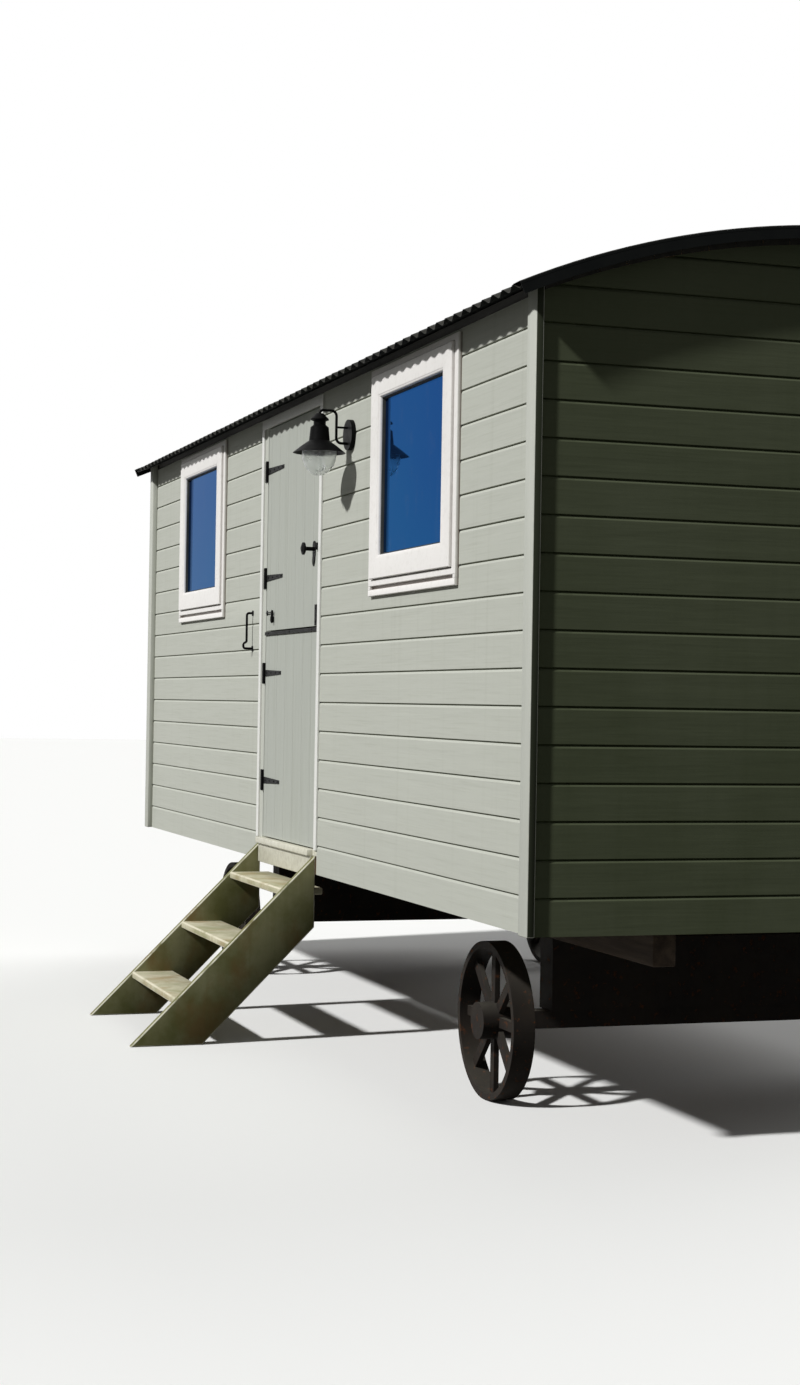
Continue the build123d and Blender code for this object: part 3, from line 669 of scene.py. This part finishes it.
def mark_grooves(bm, depth_of, deepest):
    """Mark how far a joint's faces lie behind the boards' face, 1 at the deepest."""
    groove = bm.loops.layers.float.get("groove") or bm.loops.layers.float.new("groove")
    for face in bm.faces:
        depths = [depth_of(loop.vert.co) for loop in face.loops]
        if max(depths) <= deepest + 1e-4 and max(depths) > 1e-4 and min(depths) > -1e-4:
            for loop, depth in zip(face.loops, depths):
                loop[groove] = depth / deepest


def cut_joints(bm, node_name, axis, face, out, section):
    """Cut level joints along one face of a wall: out is 1 or -1, the way that the face looks."""
    low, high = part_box(node_name)
    margin = 0.01
    cutter = bmesh.new()
    for height in board_joints(high.z):
        points = [(face - out * depth, height + rise) for depth, rise in section]
        if axis == "X":
            bar(cutter, [(low.x - margin, y, z) for y, z in points],
                (high.x - low.x + 2 * margin, 0, 0))
        else:
            bar(cutter, [(x, low.y - margin, z) for x, z in points],
                (0, high.y - low.y + 2 * margin, 0))
    return cut_away(bm, cutter)


def finish_wall(node_name, bm, *finishes):
    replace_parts(finish_piece(node_name + "_boards", bm, "hut", "sage_paint", *finishes), node_name)


def long_wall(node_name, face, out, ends):
    """A long wall. The end boards run on over its narrow end, in the end walls' paint; the near
    end's is darker, partly algae and partly painted shade.
    """
    bm = cut_joints(copy_of(node_name), node_name, "X", face, out, joint_section)
    bm = cut_joints(bm, node_name, "X", face - out * wall_thick, -out, lining_section)
    mark_grooves(bm, lambda point: (face - point.y) * out, joint_depth)
    for side in ends:
        bm = cut_joints(bm, node_name, "Y", side * end_face, side, joint_section)
        mark_grooves(bm, lambda point: end_face - side * point.x, joint_depth)
        # Faces on the near end take the paint that holds painted shade and algae.
        for part in bm.faces:
            if all(end_face - side * corner.co.x < joint_depth + 1e-4 for corner in part.verts):
                part.material_index = 1 if side > 0 else 2
    finish_wall(node_name, bm, sage, sage_shade_and_algae, sage_across)


def end_wall(node_name, side, finish):
    """An end wall, boarded outside and lined inside."""
    bm = cut_joints(copy_of(node_name), node_name, "Y", side * end_face, side, joint_section)
    bm = cut_joints(bm, node_name, "Y", side * (end_face - wall_thick), -side, lining_section)
    mark_grooves(bm, lambda point: end_face - side * point.x, joint_depth)
    finish_wall(node_name, bm, finish)


front_face, back_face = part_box("front_wall_right")[0].y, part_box("back_wall")[1].y
wall_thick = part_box("front_wall_right")[1].y - front_face
end_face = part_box("near_end_wall")[1].x
long_wall("front_wall_left", front_face, -1, (-1,))
long_wall("front_wall_right", front_face, -1, (1,))
long_wall("back_wall", back_face, 1, (-1, 1))
end_wall("near_end_wall", 1, sage_shade_and_algae)
end_wall("far_end_wall", -1, sage_across)
print("walls boarded between", round(front_face, 3), "and", round(back_face, 3))

# %% [markdown]
# ## Corner trims
#
# A flat board covers each corner on the long sides. It is plain, so an eased copy of the packed
# solid is enough; what makes it real is the arris that has lost some paint. Its narrow side past
# the end wall is painted dark: painted shade.

# %% Ease the corner trims
for node_name in sorted(name for name in nodes if name.startswith("corner_trim")):
    bm = copy_of(node_name)
    bmesh.ops.recalc_face_normals(bm, faces=bm.faces)
    for face in bm.faces:
        # The narrow side past the near end takes the dark paint that holds painted shade.
        past_end = face.calc_center_median().x > end_face
        face.material_index = 1 if past_end and face.normal.x > 0.9 else 0
    ease(bm, 0.0025)
    board = finish_piece(node_name + "_board", bm, "hut", "sage_paint", sage_upright, sage_side_shade)
    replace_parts(board, node_name)
print("corner trims eased")

# %% [markdown]
# ## The curved roof
#
# Curved corrugated sheets run from eave to eave, each lapping the next by one wave. A sheet is
# drawn as a grid bent round the roof's circle, with its radius rising and falling as a sine
# along the hut. Giving it a second skin 1 mm inside makes the edge at the eave a real thickness.

# %% The roof's circle
roof_radius, iron_depth = 2.880, 0.021
iron_low, iron_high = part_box("roof_iron")
roof_middle_y = (iron_low.y + iron_high.y) / 2
roof_centre_z = iron_high.z - roof_radius
eave_angle = math.asin((iron_high.y - iron_low.y) / 2 / roof_radius)


def on_roof(x, radius, share, widest=eave_angle):
    """A point on a roof circle, its share running from -1 at the front eave to 1 at the back."""
    return Vector((x, roof_middle_y + radius * math.sin(widest * share),
                   roof_centre_z + radius * math.cos(widest * share)))


print("roof centre", round(roof_centre_z, 3), "half angle", round(math.degrees(eave_angle), 1))

# %% Corrugated sheets
wave_count, steps_per_wave, bends = 67, 10, 26
waves_in_sheets = (11, 11, 11, 11, 11, 12)
sheet_thick, lap_rise = 0.0010, 0.0012
iron_length = iron_high.x - iron_low.x
wave = iron_length / wave_count
swing = (iron_depth - 0.002 - sheet_thick - lap_rise) / 2
middle_radius = roof_radius - 0.0016 - lap_rise - sheet_thick - swing


def corrugated_sheet(bm, first_wave, waves):
    """One closed sheet, its far side a lap higher than its near side."""
    columns = round(waves * steps_per_wave)
    grids = []
    for skin in (sheet_thick, 0.0):
        grid = []
        for column in range(columns + 1):
            x = iron_low.x + (first_wave + column / steps_per_wave) * wave
            lift = lap_rise * column / columns
            ripple = swing * math.sin(2 * math.pi * (x - iron_low.x) / wave)
            radius = middle_radius + ripple + lift + skin
            grid.append([bm.verts.new(on_roof(x, radius, 2 * row / bends - 1))
                         for row in range(bends + 1)])
        grids.append(grid)
    top, under = grids
    for i in range(columns):
        for j in range(bends):
            bm.faces.new((top[i][j], top[i + 1][j], top[i + 1][j + 1], top[i][j + 1]))
            bm.faces.new((under[i][j + 1], under[i + 1][j + 1], under[i + 1][j], under[i][j]))
    for i in range(columns):
        for j in (0, bends):
            bm.faces.new((top[i][j], under[i][j], under[i + 1][j], top[i + 1][j]))
    for i in (0, columns):
        for j in range(bends):
            bm.faces.new((top[i][j], top[i][j + 1], under[i][j + 1], under[i][j]))


sheets = bmesh.new()
first_wave = 0
for waves in waves_in_sheets:
    lap = 1 if first_wave + waves < wave_count else 0
    corrugated_sheet(sheets, first_wave, waves + lap)
    first_wave += waves
iron_sheets = finish_piece("roof_iron_sheets", sheets, "hut", "roof_iron", roof_paint, smooth=50)
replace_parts(iron_sheets, "roof_iron")
print("wave", round(wave * 1000, 1), "mm, faces", len(iron_sheets.data.polygons))

# %% Verge cappings that close both ends of the roof
capping_bends = 40


def verge_capping(bm, end):
    """A folded strip over the last waves: a flat top and a drop over the sheet's edge."""
    outline = ((end - 0.058, 0.0022), (end - 0.056, 0.0004), (end - 0.003, 0.0), (end, 0.0030),
               (end, 0.040), (end - 0.0016, 0.040), (end - 0.0016, 0.0040), (end - 0.004, 0.0016),
               (end - 0.056, 0.0020), (end - 0.057, 0.0030))
    side = 1 if end > 0 else -1
    rings = []
    for j in range(capping_bends + 1):
        rings.append([bm.verts.new(on_roof(end + side * (x - end), roof_radius - drop,
                                           2 * j / capping_bends - 1)) for x, drop in outline])
    join_and_close(bm, rings)


capping = bmesh.new()
verge_capping(capping, iron_high.x)
verge_capping(capping, iron_low.x)
finish_piece("verge_cappings", capping, "hut", "roof_iron", roof_paint, smooth=40)

# %% Roofing screws on every third crest
fixings = bmesh.new()
for row in (-0.93, -0.6, -0.25, 0.25, 0.6, 0.93):
    for crest in range(1, wave_count, 3):
        x = iron_low.x + (crest + 0.25) * wave
        radius = middle_radius + swing + sheet_thick + lap_rise / 2
        seat = on_roof(x, radius, row)
        outward = (seat - Vector((x, roof_middle_y, roof_centre_z))).normalized()
        turned(fixings, seat, outward, ((0, -0.001), (0.011, -0.001), (0.0105, 0.0012),
                                        (0.005, 0.0022), (0.005, 0.0050), (0, 0.0056)), 10)
finish_piece("roof_fixings", fixings, "hut", "roof_iron", roof_paint)
print("roof dressed")

# %% [markdown]
# ## Roof boards
#
# Under the iron lie plain narrow boards that run along the hut. Flat boards laid round a circle
# meet at a small angle, so each one is its own straight bar with a hair gap to the next. What
# shows of them outside, their ends and the boards along both eaves, is painted nearly black as
# painted shade under the iron.

# %% Lay the roof boards
boards_low, boards_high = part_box("roof_boards")
boards_across, board_gap = 24, 0.0004
wall_half = (boards_high.y - boards_low.y) / 2
boards_over = boards_high.z - roof_centre_z
boards_under = math.hypot(boards_low.z - roof_centre_z, wall_half)
boards_angle = math.asin(wall_half / boards_over)
slats = bmesh.new()
for k in range(boards_across):
    shares = [2 * (k + edge) / boards_across - 1 for edge in (0, 1)]
    gap = board_gap / wall_half
    corners = []
    for radius, order in ((boards_over, (0, 1)), (boards_under, (1, 0))):
        for i in order:
            share = shares[i] + (gap if i == 0 else -gap)
            corners.append(on_roof(boards_low.x, radius, share, boards_angle))
    faces = bar(slats, corners, (boards_high.x - boards_low.x, 0, 0))
    # The outer boards and all board ends take the near-black painted shade.
    shade_painted = faces if k in (0, boards_across - 1) else faces[:2]
    for face in shade_painted:
        face.material_index = 1
ease(slats, 0.0015, 1)
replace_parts(finish_piece("roof_board_slats", slats, "hut", "bare_boards", pine_x, eave_painted_shade),
            "roof_boards")
print(boards_across, "roof boards")

# %% [markdown]
# ## Windows
#
# Each window is a shallow frame planted on the boards, a casement that stands a little proud of
# it, and below them a drip slot over a bright sill nose. Frame and casement are drawn as mitred
# rings: one section is carried round the four corners, and each side may have its own width.

# %% A ring of joinery carried round four corners
def mitred_ring(bm, at, half, low, high, widths, section):
    """Carry a section round a rectangle. Each of its points is a share of the side's width, an
    inset past that share, and how far it stands out of the wall."""
    side_width, low_width, high_width = widths
    rings = []
    for u_sign, is_high in ((-1, False), (1, False), (1, True), (-1, True)):
        ring = []
        for share, inset, out in section:
            u = u_sign * (half - share * side_width - inset)
            if is_high:
                z = high - share * high_width - inset
            else:
                z = low + share * low_width + inset
            ring.append(bm.verts.new(at(u, z, out)))
        rings.append(ring)
    join_rings(bm, rings + rings[:1])


print("ring helper ready")

# %% The sections of frame, casement and sill
frame_proud, casement_proud, frame_back = 0.014, 0.024, -0.0547
hole_inset, ear_width = 0.0153, 0.020
side_margin, low_margin, high_margin = 0.035, 0.061, 0.025
casement_widths = (0.092, 0.084, 0.084)
frame_section = (
    (0, 0, 0.0002), (0, 0, 0.0122), (0, 0.0018, frame_proud), (1, -0.0015, frame_proud),
    (1, 0, 0.0125), (1, 0, 0.0035), (1, 0.008, 0.0035), (1, 0.008, frame_back),
    (0, hole_inset, frame_back), (0, hole_inset, 0.0002),
)
ovolo = [(1, -0.010 + 0.010 * math.sin(turn_by), 0.0125 + 0.010 * math.cos(turn_by))
         for turn_by in (0, 0.39, 0.79, 1.18, math.pi / 2)]
casement_section = (
    [(0, 0, 0.0050), (0, 0, 0.0218), (0, 0.0022, casement_proud), (1, -0.0115, casement_proud),
     (1, -0.010, 0.0232)] + ovolo
    + [(1, 0, 0.0003), (1, -0.0123, 0.0003), (1, -0.0123, -0.0203), (1, 0, -0.0203),
       (1, 0, -0.050), (0, 0.008, -0.050), (0, 0.008, 0.0050)]
)
gasket_section = ((1, 0.0001, 0.0003), (1, 0.0001, 0.0110), (1, 0.0030, 0.0095),
                  (1, 0.0065, 0.0012), (1, 0.0065, 0.0003))
print(len(frame_section), "and", len(casement_section), "points in the sections")


# %% Make the four windows
def window_joinery(place_name):
    """Frame, casement and sill of one window, as one painted piece."""
    low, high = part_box(place_name + "_window_frame")
    middle = (low.x + high.x) / 2
    out_sign = -1 if place_name.startswith("front") else 1
    face = front_face if out_sign < 0 else back_face
    half = (high.x - low.x) / 2

    def at(u, z, out):
        return Vector((middle + u, face + out_sign * out, z))

    def casement_ring(bm, section):
        mitred_ring(bm, at, half - side_margin, low.z + low_margin, high.z - high_margin,
                    casement_widths, section)

    bm = bmesh.new()
    slot_top, slot_bottom = low.z + 0.036, low.z + 0.0235
    gap = 0.0035
    mitred_ring(bm, at, half, slot_top, high.z,
                (side_margin - gap, high_margin - gap, high_margin - gap), frame_section)
    casement_ring(bm, casement_section)
    nose = ((0.0, 0.0002), (0.0, 0.0115), (0.0022, frame_proud), (0.0205, frame_proud),
            (0.0232, 0.0125), (0.0245, 0.0020), (0.0358, 0.0020), (0.0358, 0.0002))
    bar(bm, [at(-half, low.z + rise, out) for rise, out in nose], (2 * half, 0, 0))
    backing = ((0.0155, -0.0002), (0.0510, -0.0002), (0.0510, frame_back), (0.0155, frame_back))
    bar(bm, [at(-half + hole_inset, low.z + rise, out) for rise, out in backing],
        (2 * (half - hole_inset), 0, 0))
    for ear in (-half, half - ear_width):
        corners = [at(ear, slot_bottom, 0.0002), at(ear, slot_bottom, 0.0136),
                   at(ear, slot_top, 0.0136), at(ear, slot_top, 0.0002)]
        bar(bm, corners, (ear_width, 0, 0))
    mark_grooves(bm, lambda point: frame_proud - (point.y - face) * out_sign, 0.0145)
    piece = finish_piece(place_name + "_window_joinery", bm, "hut", "cream_paint", cream)
    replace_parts(piece, place_name + "_window_frame")
    # A dark rubber wedge round the pane: glazing rubber, and painted shade in the reveal.
    gasket = bmesh.new()
    casement_ring(gasket, gasket_section)
    finish_piece(place_name + "_window_gasket", gasket, "hut", "cream_paint", rubber)
    nodes[place_name + "_window_glass"].material_slots[0].material = pane


for place_name in ("front_left", "front_right", "back_left", "back_right"):
    window_joinery(place_name)
print("four windows")

# %% [markdown]
# ## Doorway
#
# White strips cover the joint between the boards and the door's frame. The frame itself is sage,
# and shows as a plain upright on the hinge side. Strips and frame are separate boards in reality,
# so they are separate pieces here, each with its own paint. The strips stand 7 mm out of the
# wall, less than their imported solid, because thick ones would hide the latch side of the door.

# %% Strips, jambs and stops
frame_lo, frame_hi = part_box("door_frame")
leaf_lo, leaf_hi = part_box("door_top_leaf")
floor_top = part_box("floor")[1].z
doorway_half, strip_face, strip_proud = -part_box("front_wall_left")[1].x, 0.035, 0.007
strip_outer = frame_hi.x
strip_inner = strip_outer - strip_face
hinge_jamb, latch_jamb = -0.375, 0.425
head_low = leaf_hi.z + 0.006
stop_y, stop_size = front_face + 0.046, 0.020
seat, hair = 0.0002, 0.0003


def roof_line(y):
    """The height of the walls' curved top above a point across the hut."""
    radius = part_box("near_end_wall")[1].z - roof_centre_z
    return roof_centre_z + math.sqrt(radius ** 2 - (y - roof_middle_y) ** 2)


strips = bmesh.new()
strip_top = roof_line(frame_lo.y) - 0.0005
for x0 in (-strip_outer, strip_inner):
    block(strips, (x0, front_face - strip_proud, floor_top),
          (x0 + strip_face, front_face - seat, strip_top))
block(strips, (-strip_inner + hair, front_face - strip_proud, head_low),
      (strip_inner - hair, front_face - seat, strip_top))
ease(strips, 0.0020)
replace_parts(finish_piece("door_strips", strips, "hut", "cream_paint", strip_paint), "door_frame")

jambs = bmesh.new()
back_y = front_face + wall_thick
jamb_top = roof_line(front_face) - 0.0005
for x0, x1 in ((-doorway_half + hair, hinge_jamb), (latch_jamb, doorway_half - hair)):
    block(jambs, (x0, front_face, floor_top), (x1, back_y, jamb_top))
block(jambs, (hinge_jamb + hair, front_face, head_low), (latch_jamb - hair, back_y, jamb_top))
for x0 in (hinge_jamb, latch_jamb - stop_size):
    block(jambs, (x0, stop_y, floor_top), (x0 + stop_size, stop_y + stop_size, head_low))
block(jambs, (hinge_jamb + stop_size + hair, stop_y, head_low - stop_size),
      (latch_jamb - stop_size - hair, stop_y + stop_size, head_low))
ease(jambs, 0.0018)
finish_piece("door_jambs_and_stops", jambs, "hut", "sage_paint", sage_upright)
print("doorway", round(latch_jamb - hinge_jamb, 3), "wide")

# %% Threshold and panel below it
eased_copy("door_sill", "door_threshold", "cream_paint", threshold_paint, 0.0025)

# %% [markdown]
# ## The stable door
#
# Each leaf is upright boards with small V joints, held by ledges and a brace on the inside. The
# boards are separate bars, so the joint lines are real and the leaf's edge shows its thickness
# when it stands open.

# %% Boards, ledges and braces of a leaf
board_joint_first, board_joint_step = -0.185, 0.130
face_boards, ledge_height, brace_width = 0.022, 0.10, 0.10
v_cut, half_gap, narrowest_board = 0.0030, 0.0002, 0.03


def door_leaf(node_name, body):
    low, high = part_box(node_name)
    bm = bmesh.new()
    joints = [board_joint_first + board_joint_step * k for k in range(-1, 5)]
    inner = [x for x in joints if low.x + narrowest_board < x < high.x - narrowest_board]
    edges = [low.x] + inner + [high.x]
    for left, right in zip(edges, edges[1:]):
        a, b = left + half_gap, right - half_gap
        y0, y1 = low.y, low.y + face_boards
        outline = ((a, y0 + v_cut, low.z), (a + v_cut, y0, low.z), (b - v_cut, y0, low.z),
                   (b, y0 + v_cut, low.z), (b, y1, low.z), (a, y1, low.z))
        bar(bm, outline, (0, 0, high.z - low.z))
    mark_grooves(bm, lambda point: point.y - low.y, v_cut)
    y0, y1 = low.y + face_boards + seat, high.y
    ledges = bmesh.new()
    heights = (low.z + 0.10, high.z - 0.20)
    for z in heights:
        block(ledges, (low.x + 0.04, y0, z), (high.x - 0.04, y1, z + ledge_height))
    z0, z1 = heights[0] + ledge_height + hair, heights[1] - hair
    x0, x1 = low.x + 0.06, high.x - 0.06 - brace_width
    bar(ledges, ((x0, y0, z0), (x0 + brace_width, y0, z0), (x1 + brace_width, y0, z1),
                 (x1, y0, z1)), (0, y1 - y0, 0))
    bmesh.ops.recalc_face_normals(ledges, faces=ledges.faces)
    ease(ledges, 0.003)
    ledge_mesh = bpy.data.meshes.new("ledges")
    ledges.to_mesh(ledge_mesh)
    ledges.free()
    bm.from_mesh(ledge_mesh)
    bpy.data.meshes.remove(ledge_mesh)
    piece = finish_piece(node_name + "_boards", bm, body, "sage_paint", leaf_paint)
    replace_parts(piece, node_name)
    return len(edges) - 1


count = door_leaf("door_bottom_leaf", "bottom_leaf")
door_leaf("door_top_leaf", "top_leaf")
print(count, "boards in a leaf")

# %% [markdown]
# ## Black iron on the door
#
# Tapered strap hinges, a lock plate and a round knob are packed as solids of the right shape, so
# they only take their finish. What is added is what a smith's hand leaves: screws, a weather bar
# along the bottom leaf's top edge, a bolt over its end, and a drop hook by the hinge side.

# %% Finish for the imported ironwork
for node_name in ("hinge_plates", "bottom_leaf_hinges", "top_leaf_hinges", "lock_plate",
                  "door_knob", "lamp_bracket", "lamp_shade", "grab_handle"):
    nodes[node_name].material_slots[0].material = black_iron

# %% Screws through hinges and lock plate
outward = (0, -1, 0)
hinge_x, hinge_heights = -0.3725, (0.988, 1.443, 1.847, 2.3021)
strap_face = front_face - 0.003
plate_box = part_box("lock_plate")
lock_x = (plate_box[0].x + plate_box[1].x) / 2
for body, heights in (("bottom_leaf", hinge_heights[:2]), ("top_leaf", hinge_heights[2:])):
    screws = bmesh.new()
    for z in heights:
        for x in (-0.335, -0.270, -0.200, -0.138):
            screw_head(screws, (x, strap_face, z), outward)
    if body == "top_leaf":
        for across, z in ((0, 1.871), (-0.012, 1.912), (0.012, 1.912), (0, 1.953)):
            screw_head(screws, (lock_x + across, front_face - 0.004, z), outward, 0.0026, 0.0016)
    finish_piece(body + "_screws", screws, body, "black_iron", black_iron)
plate_screws = bmesh.new()
for z in hinge_heights:
    for dx, dz in ((-0.020, 0.034), (-0.020, -0.034), (-0.028, 0.012), (-0.028, -0.012)):
        screw_head(plate_screws, (hinge_x + dx, strap_face, z + dz), outward, 0.0036, 0.002)
finish_piece("hinge_plate_screws", plate_screws, "hut", "black_iron", black_iron)

# %% Weather bar on the bottom leaf's top edge
weather = bmesh.new()
bar_top, bar_height, bar_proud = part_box("door_bottom_leaf")[1].z, 0.014, 0.0060
block(weather, (leaf_lo.x + 0.001, leaf_lo.y - bar_proud, bar_top - bar_height),
      (leaf_hi.x - 0.001, leaf_lo.y, bar_top))
ease(weather, 0.0012)
for x in (-0.31, 0.02, 0.35):
    screw_head(weather, (x, leaf_lo.y - bar_proud, bar_top - bar_height / 2), outward,
               0.0035, 0.002)
finish_piece("weather_bar", weather, "bottom_leaf", "black_iron", black_iron)

# %% Bolt and latch keep on the top leaf
bolt = bmesh.new()
bolt_left, bolt_front = leaf_hi.x - 0.022, leaf_lo.y - 0.0090
bolt_low, bolt_high = leaf_lo.z + 0.0005, leaf_lo.z + 0.083
keep_low, keep_high = 1.921, 1.949
block(bolt, (bolt_left, bolt_front, bolt_low), (leaf_hi.x - 0.002, leaf_lo.y, bolt_high))
block(bolt, (bolt_left, bolt_front, keep_low), (leaf_hi.x - 0.008, leaf_lo.y, keep_high))
ease(bolt, 0.0012)
for z in (bolt_low + 0.015, bolt_high - 0.015):
    screw_head(bolt, (leaf_hi.x - 0.012, bolt_front, z), outward, 0.0035, 0.002)
finish_piece("bolt_and_keep", bolt, "top_leaf", "black_iron", black_iron)

# %% Hook on the top leaf
def bent_rod(bm, points, radius, steps=10):
    """A round rod along a line of points, closed at both ends."""
    rings = []
    for i, point in enumerate(points):
        before = points[max(i - 1, 0)]
        after = points[min(i + 1, len(points) - 1)]
        run = (Vector(after) - Vector(before)).normalized()
        side = run.cross(Vector((0.31, 0.95, 0.05))).normalized()
        rings.append(circle(bm, Vector(point), side, run.cross(side), radius, steps))
    join_and_close(bm, rings)


hook = bmesh.new()
hook_from, hook_to, hook_z = -0.352, -0.243, 1.698
turned(hook, (hook_from, front_face, hook_z), outward,
       ((0, -0.001), (0.011, -0.001), (0.011, 0.002), (0.008, 0.0035), (0, 0.0035)), 20)
arm = [(hook_from, front_face - 0.002, hook_z), (hook_from + 0.004, front_face - 0.007, hook_z),
       (hook_to - 0.012, front_face - 0.008, hook_z + 0.001),
       (hook_to, front_face - 0.009, hook_z - 0.006)]
bent_rod(hook, arm, 0.0024)
turned(hook, (hook_to, front_face - 0.0095, hook_z - 0.044), (0, 0, 1),
       ((0, -0.002), (0.0050, 0.0), (0.0080, 0.010), (0.0075, 0.020), (0.0050, 0.034),
        (0.0060, 0.044), (0.0040, 0.052), (0, 0.054)), 14)
finish_piece("door_hook", hook, "top_leaf", "black_iron", black_iron)
print("door ironwork done")

# %% [markdown]
# ## Wall lamp and grab handle
#
# The lamp's plate, arm, stepped shade and bowl are packed. Inside the bowl hang a lamp holder and
# a bulb, which show faintly through the etched glass, and the grab handle is screwed to the wall.

# %% Bulb, holder and screws
nodes["lamp_glass"].material_slots[0].material = bowl
shade_lo, shade_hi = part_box("lamp_shade")
lamp_x, lamp_y = (shade_lo.x + shade_hi.x) / 2, (shade_lo.y + shade_hi.y) / 2
rim_z = shade_lo.z
holder = bmesh.new()
turned(holder, (lamp_x, lamp_y, rim_z), (0, 0, 1),
       ((0, -0.012), (0.017, -0.012), (0.019, -0.008), (0.019, 0.018), (0.022, 0.020),
        (0.022, 0.034), (0, 0.034)), 24)
finish_piece("lamp_holder", holder, "hut", "black_iron", black_iron)
bulb = bmesh.new()
turned(bulb, (lamp_x, lamp_y, rim_z - 0.0125), (0, 0, -1),
       ((0, 0.0), (0.013, 0.0), (0.0135, 0.010), (0.020, 0.022), (0.0240, 0.034), (0.0225, 0.045),
        (0.015, 0.053), (0.006, 0.0565), (0, 0.057)), 28)
finish_piece("lamp_bulb", bulb, "hut", "lamp_glass", bowl)

wall_screws = bmesh.new()
grab_lo, grab_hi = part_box("grab_handle")
grab_x = (grab_lo.x + grab_hi.x) / 2
for z in (grab_lo.z + 0.012, grab_hi.z - 0.012):
    for angle in (0.5, 2.6, 4.7):
        screw_head(wall_screws, (grab_x + 0.0085 * math.cos(angle), front_face - 0.004,
                                 z + 0.0085 * math.sin(angle)), outward, 0.0016, 0.001)
finish_piece("grab_handle_screws", wall_screws, "hut", "black_iron", black_iron)
print("lamp at", round(lamp_x, 3), round(lamp_y, 3), "rim", round(rim_z, 3))

# %% [markdown]
# ## Steps
#
# Two deep side boards carry three treads. They are plain planks that have stood in the weather, so
# the edges are rounded by feet and show pale wood, while the flats hold brown and green. The side
# boards' darker olive is partly moss and partly painted shade.

# %% Side boards and treads
for node_name in ("step_string_left", "step_string_right"):
    eased_copy(node_name, node_name + "_plank", "step_paint", side_board_moss_and_shade, 0.0045, 3)
for node_name in ("bottom_tread", "middle_tread", "top_tread"):
    eased_copy(node_name, node_name + "_plank", "step_paint", tread_paint, 0.006, 3)
print("steps done")

# %% [markdown]
# ## Floor and running gear
#
# From below one sees joists under the floor boards, two long bearers, and iron axles with spoked
# wheels. The floor's solid is a plain slab, so it is replaced by boards on joists of the same
# outline. Bearers are eased copies; axles and wheels only take their finish.

# %% Floor boards on joists
floor_lo, floor_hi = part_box("floor")
room_front = front_face + wall_thick
plank_wide, plank_thick, plank_gap = 0.1206, 0.021, 0.0008
planks = bmesh.new()
y = room_front
while y < floor_hi.y - 0.02:
    y_end = min(y + plank_wide, floor_hi.y)
    block(planks, (floor_lo.x, y + plank_gap / 2, floor_hi.z - plank_thick),
          (floor_hi.x, y_end - plank_gap / 2, floor_hi.z))
    y += plank_wide
ease(planks, 0.0012, 1)
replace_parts(finish_piece("floor_boards", planks, "hut", "bare_boards", pine_x), "floor")
joists = bmesh.new()
joist_count, joist_wide = 13, 0.047
under_planks = floor_hi.z - plank_thick - hair
for k in range(joist_count):
    x = floor_lo.x + (floor_hi.x - floor_lo.x - joist_wide) * k / (joist_count - 1)
    block(joists, (x, room_front + joist_wide + 0.001, floor_lo.z),
          (x + joist_wide, floor_hi.y - joist_wide - 0.001, under_planks))
for y in (room_front, floor_hi.y - joist_wide):
    block(joists, (floor_lo.x, y, floor_lo.z), (floor_hi.x, y + joist_wide, under_planks))
block(joists, (-doorway_half, front_face, floor_lo.z),
      (doorway_half, room_front - 0.0005, floor_top - 0.0255))
ease(joists, 0.002, 1)
finish_piece("floor_joists", joists, "hut", "bare_boards", joist_y)

# %% Bearers, axles and wheels
for node_name in ("front_floor_beam", "back_floor_beam"):
    eased_copy(node_name, node_name + "_timber", "bearer_timber", bearer_x, 0.004)
for node_name in nodes:
    if node_name.endswith("axle") or node_name.endswith("_wheel"):
        nodes[node_name].material_slots[0].material = gear_iron
print("running gear done")
